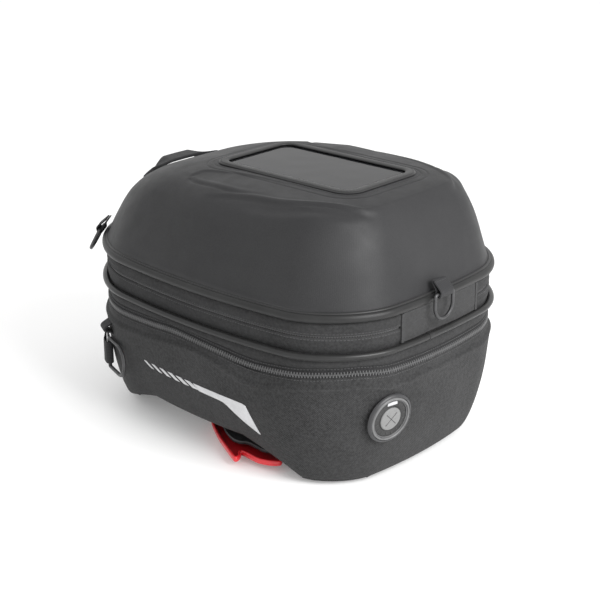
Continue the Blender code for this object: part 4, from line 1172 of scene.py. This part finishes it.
def build_d_rings():
    for name, y, end, z, stand_off, size, rise, roll, lean in D_RINGS:
        matrix = wall_matrix(y, end, z, stand_off) @ Matrix.Rotation(math.radians(roll), 4, "X")
        leaning = matrix @ Matrix.Rotation(-math.radians(lean), 4, "Y")
        width, drop, wire = size
        route = ring_route(width, drop, wire)
        ring = tube(f"ring_{name}_wire", route, wire, MATERIALS["dark_metal"], leaning)
        put(ring, f"ring_{name}", "dark_metal", f"d_ring_{name}")
        curve = rise ** 2 / (2 * CORNER_CURVE) if roll else 0.0
        reach = stand_off - (wall_lean(z + (width / 2 if roll else rise)) - curve)
        radius = wire + 0.0004 + TAB_THICKNESS / 2
        back = TAB_BACK_OUT - reach
        front = back + TAB_THICKNESS + 0.0005
        coarse = [(front, rise), (front * 0.6 + radius * 0.4, rise * 0.72), (radius, rise * 0.28)]
        coarse += [(radius * math.cos(a), radius * math.sin(a)) for a in -np.linspace(0, math.pi, 9)]
        coarse += [(-radius, rise * 0.28), (back * 0.6 - radius * 0.4, rise * 0.72), (back, rise)]
        body = "base" if name.startswith("lower") else "lid"
        tab_width = width - 0.0035
        tab = strap(f"tab_{name}_webbing", smooth_path(coarse, 3), tab_width, TAB_THICKNESS,
                    MATERIALS["webbing"], matrix)
        put(tab, body, "webbing", f"tab_{name}")
        half = tab_width / 2 - 0.00175
        rows = []
        for share in (0.78, 0.90):
            out = front * 0.85 + radius * 0.15 + TAB_THICKNESS / 2 + 0.0001
            line = np.array([(out, yy, rise * share) for yy in np.linspace(-half, half, 14)])
            rows.append((line @ np.array(matrix.to_3x3()).T + np.array(matrix.translation), False))
        up = np.array(matrix.to_3x3()) @ np.array([0, 0, 1.0])
        stitches = beads(f"tab_{name}_stitches", rows, 0.0022, (0.0008, 0.00022, 0.00022),
                         MATERIALS["thread"], ups=up)
        put(stitches, body, "webbing")


def build_lower_folds():
    """Folded end of webbing that stands out above each lower ring."""
    for side, name in ((1, "left"), (-1, "right")):
        matrix = wall_matrix(0.111 * side, -1, 0.0860, 0.0010)
        path = smooth_path([(0.0006, 0.0060), (0.0050, 0.0040), (0.0098, 0.0010), (0.0108, -0.0014),
                            (0.0092, -0.0030), (0.0050, -0.0040), (0.0010, -0.0070), (0.0008, -0.0150)], 4)
        fold = strap(f"lower_fold_{name}", path, 0.0150, 0.0018, MATERIALS["webbing"], matrix)
        put(fold, "base", "webbing")


def build_sliders():
    for node, body, y, z, back in SLIDERS:
        matrix = wall_matrix(y, -1, z, back)
        outline = [(-0.0040, 0.0), (-0.0036, 0.0030), (-0.0016, 0.0045), (0.0016, 0.0045), (0.0036, 0.0030),
                   (0.0040, 0.0), (0.0034, -0.0036), (0.0022, -0.0045), (-0.0022, -0.0045), (-0.0034, -0.0036)]
        outline = smooth_path(outline + outline[:1], 3)[:-1]
        turn = matrix @ Matrix(((0, 0, 1, 0), (1, 0, 0, 0), (0, 1, 0, 0), (0, 0, 0, 1)))
        plate = prism(node + "_body", outline, 0.0003, 0.0024, MATERIALS["dark_metal"], 0.0006, turn)
        put(plate, body, "dark_metal", node)
        bridge = [(-0.0034, 0.0022), (-0.0028, 0.0040), (0.0, 0.0047), (0.0028, 0.0040), (0.0034, 0.0022)]
        path = smooth_path([(out, up) for up, out in bridge], 5)
        bow = strap(node + "_bridge", path, 0.0026, 0.0010, MATERIALS["dark_metal"], matrix)
        put(bow, body, "dark_metal")
        pull_body = body.replace("slider", "pull")
        hang = matrix @ Matrix.Translation((PULL_PIN_OUT, 0, 0))
        half = 0.0032
        shape = [(-half * 0.7, 0.0010), (half * 0.7, 0.0010), (half * 0.8, -0.0040), (half, -0.0080),
                 (half, -PULL_LENGTH + 0.0030), (half * 0.6, -PULL_LENGTH), (-half * 0.6, -PULL_LENGTH),
                 (-half, -PULL_LENGTH + 0.0030), (-half, -0.0080), (-half * 0.8, -0.0040)]
        shape = smooth_path(shape + shape[:1], 3)[:-1]
        turn = hang @ Matrix(((0, 0, 1, 0), (1, 0, 0, 0), (0, 1, 0, 0), (0, 0, 0, 1)))
        pull = prism(node.replace("slider", "pull") + "_grip", shape, -0.0009, 0.0009, MATERIALS["rubber"],
                     0.0005, turn)
        put(pull, pull_body, "rubber", node.replace("slider", "pull"))
        for k in range(4):
            bar = [(-0.0020, -0.0105 - k * 0.0020), (0.0020, -0.0105 - k * 0.0020),
                   (0.0020, -0.0097 - k * 0.0020), (-0.0020, -0.0097 - k * 0.0020)]
            rib = prism(f"{node.replace('slider', 'pull')}_rib_{k + 1}", bar, -0.0012, 0.0012,
                        MATERIALS["rubber"], 0.0002, turn)
            put(rib, pull_body, "rubber")


# ---------------------------------------------------------------- cable port
def build_port():
    place, normal = end_wall_point(PORT_Y, 1, PORT_WALL_OUT)
    out = (normal * math.cos(PORT_LEAN) - Vector((0, 0, 1)) * math.sin(PORT_LEAN)).normalized()
    across = Vector((0, 0, 1)).cross(out).normalized()
    matrix = Matrix((across, out.cross(across), out)).transposed().to_4x4()
    matrix.translation = Vector((place.x, place.y, PORT_Z))
    base = 0.0020
    put(turned("port_bezel_rim", [
        (0.0228, base), (0.0227, base + 0.0011), (0.0221, base + 0.0020), (0.0211, base + 0.0026),
        (0.0205, base + 0.0026), (0.0204, base),
    ], MATERIALS["black_plastic"], matrix), "base", "black_plastic", "port_bezel")
    put(turned("port_ring_metal", [
        (0.0201, base), (0.0201, base + 0.0024), (0.0196, base + 0.0032), (0.0187, base + 0.0034),
        (0.0180, base + 0.0030), (0.0176, base + 0.0022), (0.0170, base + 0.0020), (0.0170, base),
    ], MATERIALS["silver_ring"], matrix), "base", "silver_ring", "port_ring")
    face = base + 0.0016
    profile = [(0.0140, -0.0070), (0.0160, -0.0070), (0.0160, base), (0.0167, base), (0.0167, face - 0.0003),
               (0.0160, face), (0.0124, face + 0.0002), (0.0114, face - 0.0003), (0.0108, face + 0.0002)]
    put(turned("port_grommet_body", profile, MATERIALS["rubber"], matrix, joined=False), "base", "rubber",
        "port_grommet")
    domed = [(0.0106, face), (0.0106, face + 0.0006), (0.0100, face + 0.0011), (0.0070, face + 0.0014),
             (0.0035, face + 0.0015), (0.0008, face + 0.0015)]
    put(turned("port_insert", domed, MATERIALS["insert"], matrix, joined=False), "base", "rubber")
    for k, angle in enumerate((45, 135)):
        turn = matrix @ Matrix.Rotation(math.radians(angle), 4, "Z")
        slit = [(-0.0075, -0.0003), (0.0075, -0.0003), (0.0075, 0.0003), (-0.0075, 0.0003)]
        put(prism(f"port_slit_{k + 1}", slit, face + 0.0008, face + 0.00165, MATERIALS["rubber"], 0.0001, turn),
            "base", "rubber")
    for k in range(16):
        turn = matrix @ Matrix.Rotation(2 * math.pi * (k + 0.5) / 16, 4, "Z")
        rib = [(0.0128, -0.0004), (0.0158, -0.0004), (0.0158, 0.0004), (0.0128, 0.0004)]
        put(prism(f"port_rib_{k + 1:02d}", rib, face - 0.0003, face + 0.0004, MATERIALS["rubber"], 0.0001, turn),
            "base", "rubber")
    tag = [(-0.0052, 0.0134), (0.0052, 0.0134), (0.0050, 0.0160), (0.0, 0.0166), (-0.0050, 0.0160)]
    put(prism("port_tag_blank", tag, face, face + 0.0009, MATERIALS["reflective"], 0.0002, matrix),
        "base", "rubber")


# ---------------------------------------------------------------- tank lock and underside
def build_lock():
    low, high = 0.0115, 0.0275
    put(turned("lock_body_housing", [
        (LOCK_OUTER - 0.0006, low), (LOCK_OUTER, low + 0.0006), (LOCK_OUTER, low + 0.0040),
        (LOCK_OUTER - 0.0010, low + 0.0046), (LOCK_OUTER - 0.0010, high - 0.0030),
        (LOCK_OUTER, high - 0.0024),
        (LOCK_OUTER, high), (0.0120, high), (0.0120, high - 0.004), (LOCK_SOCKET, high - 0.004),
        (LOCK_SOCKET, low + 0.0008), (LOCK_SOCKET + 0.0008, low),
    ], MATERIALS["black_plastic"], sides=96), "base", "black_plastic", "lock_body")
    put(turned("lock_cover_plate", [
        (LOCK_OUTER - 0.0002, 0.0040), (LOCK_OUTER, 0.0048), (LOCK_OUTER - 0.0003, 0.0055),
        (LOCK_SOCKET, 0.0055),
        (LOCK_SOCKET, 0.0034), (LOCK_SOCKET + 0.0008, 0.0026), (LOCK_OUTER - 0.0016, 0.0026),
        (LOCK_OUTER - 0.0007, 0.0031),
    ], MATERIALS["black_plastic"], sides=96), "base", "black_plastic", "lock_cover")
    for k in range(24):
        angle = 2 * math.pi * (k + 0.5) / 24
        turn = Matrix.Rotation(angle, 4, "Z")
        fin = [(LOCK_OUTER - 0.0016, -0.0007), (LOCK_OUTER + 0.0001, -0.0005), (LOCK_OUTER + 0.0001, 0.0005),
               (LOCK_OUTER - 0.0016, 0.0007)]
        put(prism(f"lock_fin_{k + 1:02d}", fin, low + 0.0045, high - 0.0030, MATERIALS["black_plastic"],
                  0.0001, turn), "base", "black_plastic")


LEVER_OUTLINE = [
    (0.014, -0.0425), (-0.014, -0.0425), (-0.014, -0.0583), (-0.024, -0.0583), (-0.0215, -0.0760),
    (-0.014, -0.0870), (0.012, -0.1045), (0.033, -0.1160), (0.050, -0.1248), (0.0545, -0.1240),
    (0.0530, -0.1180), (0.0490, -0.1130), (0.058, -0.1132), (0.070, -0.1140), (0.081, -0.1105),
    (0.0880, -0.1040), (0.0850, -0.0985), (0.040, -0.0830), (0.024, -0.0583), (0.014, -0.0583),
]


def inset_rows(line, closed, section):
    """Rows beside a line in plan: section is (distance to the left of its direction, height)."""
    if closed:
        ahead = np.roll(line, -1, axis=0) - np.roll(line, 1, axis=0)
    else:
        ahead = np.gradient(line, axis=0)
    ahead /= np.maximum(np.linalg.norm(ahead, axis=1), 1e-9)[:, None]
    left = np.column_stack([-ahead[:, 1], ahead[:, 0]])
    return np.array([np.column_stack([line + left * inset, np.full(len(line), z)]) for inset, z in section])


def build_lever():
    """Bright pull lever: a sunk plate inside a tall rounded rim; the plate's darker red is painted shade of the
    recess.
    """
    low, high = 0.0060, 0.0110
    outline = even_path(np.column_stack([LEVER_OUTLINE, np.zeros(len(LEVER_OUTLINE))]), 0.0012)[0][:, :2]
    # the sunk plate's darker red is painted shade
    plate = prism("release_lever_plate", outline, low + 0.0004, 0.0078, MATERIALS["red_dull_painted_shade"], 0.0004)
    triangulate_caps(plate)
    put(plate, "lever", "red_plastic", "release_lever")
    section = [(0.0004, low), (-0.0002, low + 0.0014), (-0.0002, high - 0.0012), (0.0004, high - 0.0003),
               (0.0014, high), (0.0022, high - 0.0004), (0.0026, high - 0.0014), (0.0028, low + 0.0006),
               (0.0022, low)]
    rows = inset_rows(smooth_path(LEVER_OUTLINE[3:17], 6), False, section)
    rim = skin("release_lever_rim", rows.transpose(1, 0, 2), MATERIALS["red_plastic"], caps=True, crease=60)
    put(rim, "lever", "red_plastic")


def build_lever_guide():
    """Black plate on the lock that the lever slides under."""
    corners = [(0.030, -0.0440), (-0.030, -0.0440), (-0.0245, -0.0620), (-0.0200, -0.0760),
               (-0.0060, -0.0860),
               (0.0060, -0.0925), (0.0180, -0.1000), (0.0290, -0.1050), (0.0390, -0.1060), (0.0470, -0.1020),
               (0.0580, -0.1030), (0.0680, -0.1035), (0.0760, -0.0960), (0.0640, -0.0760), (0.0440, -0.0560)]
    outline = smooth_path(corners + corners[:1], 5)[:-1]
    guide = prism("lock_lever_guide", outline, 0.0116, 0.0150, MATERIALS["black_plastic"], 0.0008)
    triangulate_caps(guide)
    put(guide, "base", "black_plastic")
    for k in range(5):
        y = -0.0620 - 0.0070 * k
        bar = [(-0.012 + 0.004 * k, y - 0.0008), (0.040 + 0.004 * k, y - 0.0008),
               (0.040 + 0.004 * k, y + 0.0008),
               (-0.012 + 0.004 * k, y + 0.0008)]
        put(prism(f"lock_guide_rib_{k + 1}", bar, 0.0148, 0.0162, MATERIALS["black_plastic"], 0.0003),
            "base", "black_plastic")


def build_pads():
    plan = bag_outline(-0.0210)
    for node, end, start in (("base_pad_rear", 1, 0.112), ("base_pad_front", -1, 0.124)):
        kept = plan[plan[:, 0] * end > start]
        kept = kept[np.argsort(kept[:, 1])]
        edge_y = abs(kept[0, 1])
        outline = np.vstack([[end * (start - 0.002), -edge_y], kept, [end * (start - 0.002), edge_y]])
        pad = prism(node + "_rubber", outline, 0.0009, 0.0030, MATERIALS["rubber"], 0.0006)
        triangulate_caps(pad)
        put(pad, "base", "rubber", node)
        reach = np.abs(kept[:, 0]).max()
        near_side = kept[kept[:, 1] > 0]
        near_side = near_side[np.argsort(np.abs(near_side[:, 0]))]
        ribs = 7
        for k in range(ribs):
            x = start + 0.0035 + (reach - start - 0.010) * k / (ribs - 1)
            half = np.interp(x, np.abs(near_side[:, 0]), near_side[:, 1]) - 0.005
            bar = [(end * (x - 0.0011), -half), (end * (x + 0.0011), -half), (end * (x + 0.0011), half),
                   (end * (x - 0.0011), half)]
            put(prism(f"{node}_rib_{k + 1}", bar, 0.0, 0.0014, MATERIALS["rubber"], 0.0004), "base", "rubber")


def build_floor_board():
    board = prism("floor_board_foam", bag_outline(-0.0215), 0.0362, 0.0387, MATERIALS["foam_board"], 0.0008)
    triangulate_caps(board)
    put(board, "base", "foam_board", "floor_board")


def dress_cad_nodes():
    """Gives the CAD nodes that stay in view their procedural materials."""
    finishes = {"pocket_tray": "lining", "latch_bar": "steel", "lock_backing_plate": "steel",
                "return_spring_left": "steel", "return_spring_right": "steel"}
    for k in range(1, 5):
        finishes[f"lock_screw_{k}"] = "steel"
        finishes[f"lock_spacer_{k}"] = "black_plastic"
    for node, finish in finishes.items():
        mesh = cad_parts[node].data
        mesh.materials.clear()
        mesh.materials.append(MATERIALS[finish])
        if "cloth" not in mesh.uv_layers:
            layer = mesh.uv_layers.new(name="cloth")
            for loop in mesh.loops:
                co = mesh.vertices[loop.vertex_index].co
                layer.data[loop.index].uv = (co.x, co.y + co.z)


# ---------------------------------------------------------------- studio
def build_stage():
    floor = bpy.data.meshes.new("floor")
    half = 4.0
    corners = [(-half, -half, 0), (half, -half, 0), (half, half, 0), (-half, half, 0)]
    floor.from_pydata(corners, [], [(0, 1, 2, 3)])
    floor.materials.append(pale_floor())
    stage = bpy.data.objects.new("floor", floor)
    bpy.context.scene.collection.objects.link(stage)
    stage.location.z = -0.0001
    world = bpy.data.worlds.new("studio")
    world.use_nodes = True
    world.node_tree.nodes["Background"].inputs["Color"].default_value = (1.0, 1.0, 1.0, 1.0)
    world.node_tree.nodes["Background"].inputs["Strength"].default_value = 1.0
    bpy.context.scene.world = world
    bpy.context.scene.view_settings.view_transform = "Standard"


def area_light(name, place, target, width, height, power):
    light = bpy.data.lights.new(name, "AREA")
    light.shape = "RECTANGLE"
    light.size, light.size_y, light.energy = width, height, power
    lamp = bpy.data.objects.new(name, light)
    bpy.context.scene.collection.objects.link(lamp)
    lamp.location = place
    lamp.rotation_euler = (Vector(target) - Vector(place)).to_track_quat("-Z", "Y").to_euler()


def build_camera():
    azimuth, elevation, distance = math.radians(41.95), math.radians(20.62), 1.350
    back = Vector((math.sin(azimuth) * math.cos(elevation), -math.cos(azimuth) * math.cos(elevation),
                   math.sin(elevation)))
    right = Vector((math.cos(azimuth), math.sin(azimuth), 0))
    up = back.cross(right)
    data = bpy.data.cameras.new("camera")
    data.lens, data.sensor_width = 88.06, 36.0
    camera = bpy.data.objects.new("camera", data)
    bpy.context.scene.collection.objects.link(camera)
    matrix = Matrix((right, up, back)).transposed().to_4x4()
    matrix.translation = right * 0.01266 - up * 0.04515 + back * distance + Vector((0, 0, 0.157))
    camera.matrix_world = matrix
    bpy.context.scene.camera = camera


def build():
    shell = build_lower_shell()
    build_reflective_strips(shell)
    build_expansion_zip()
    build_collar()
    build_main_zip()
    build_upper_wall()
    build_hinge_panel()
    build_gusset()
    lid = build_lid()
    build_window()
    build_mesh_pocket()
    build_handle(lid)
    build_d_rings()
    build_lower_folds()
    build_sliders()
    build_port()
    build_lock()
    build_lever()
    build_lever_guide()
    build_pads()
    build_floor_board()
    dress_cad_nodes()
    build_stage()
    area_light("key", (1.25, -0.10, 0.85), (0.0, 0.0, 0.12), 0.8, 0.8, 23.0)
    build_camera()


build()
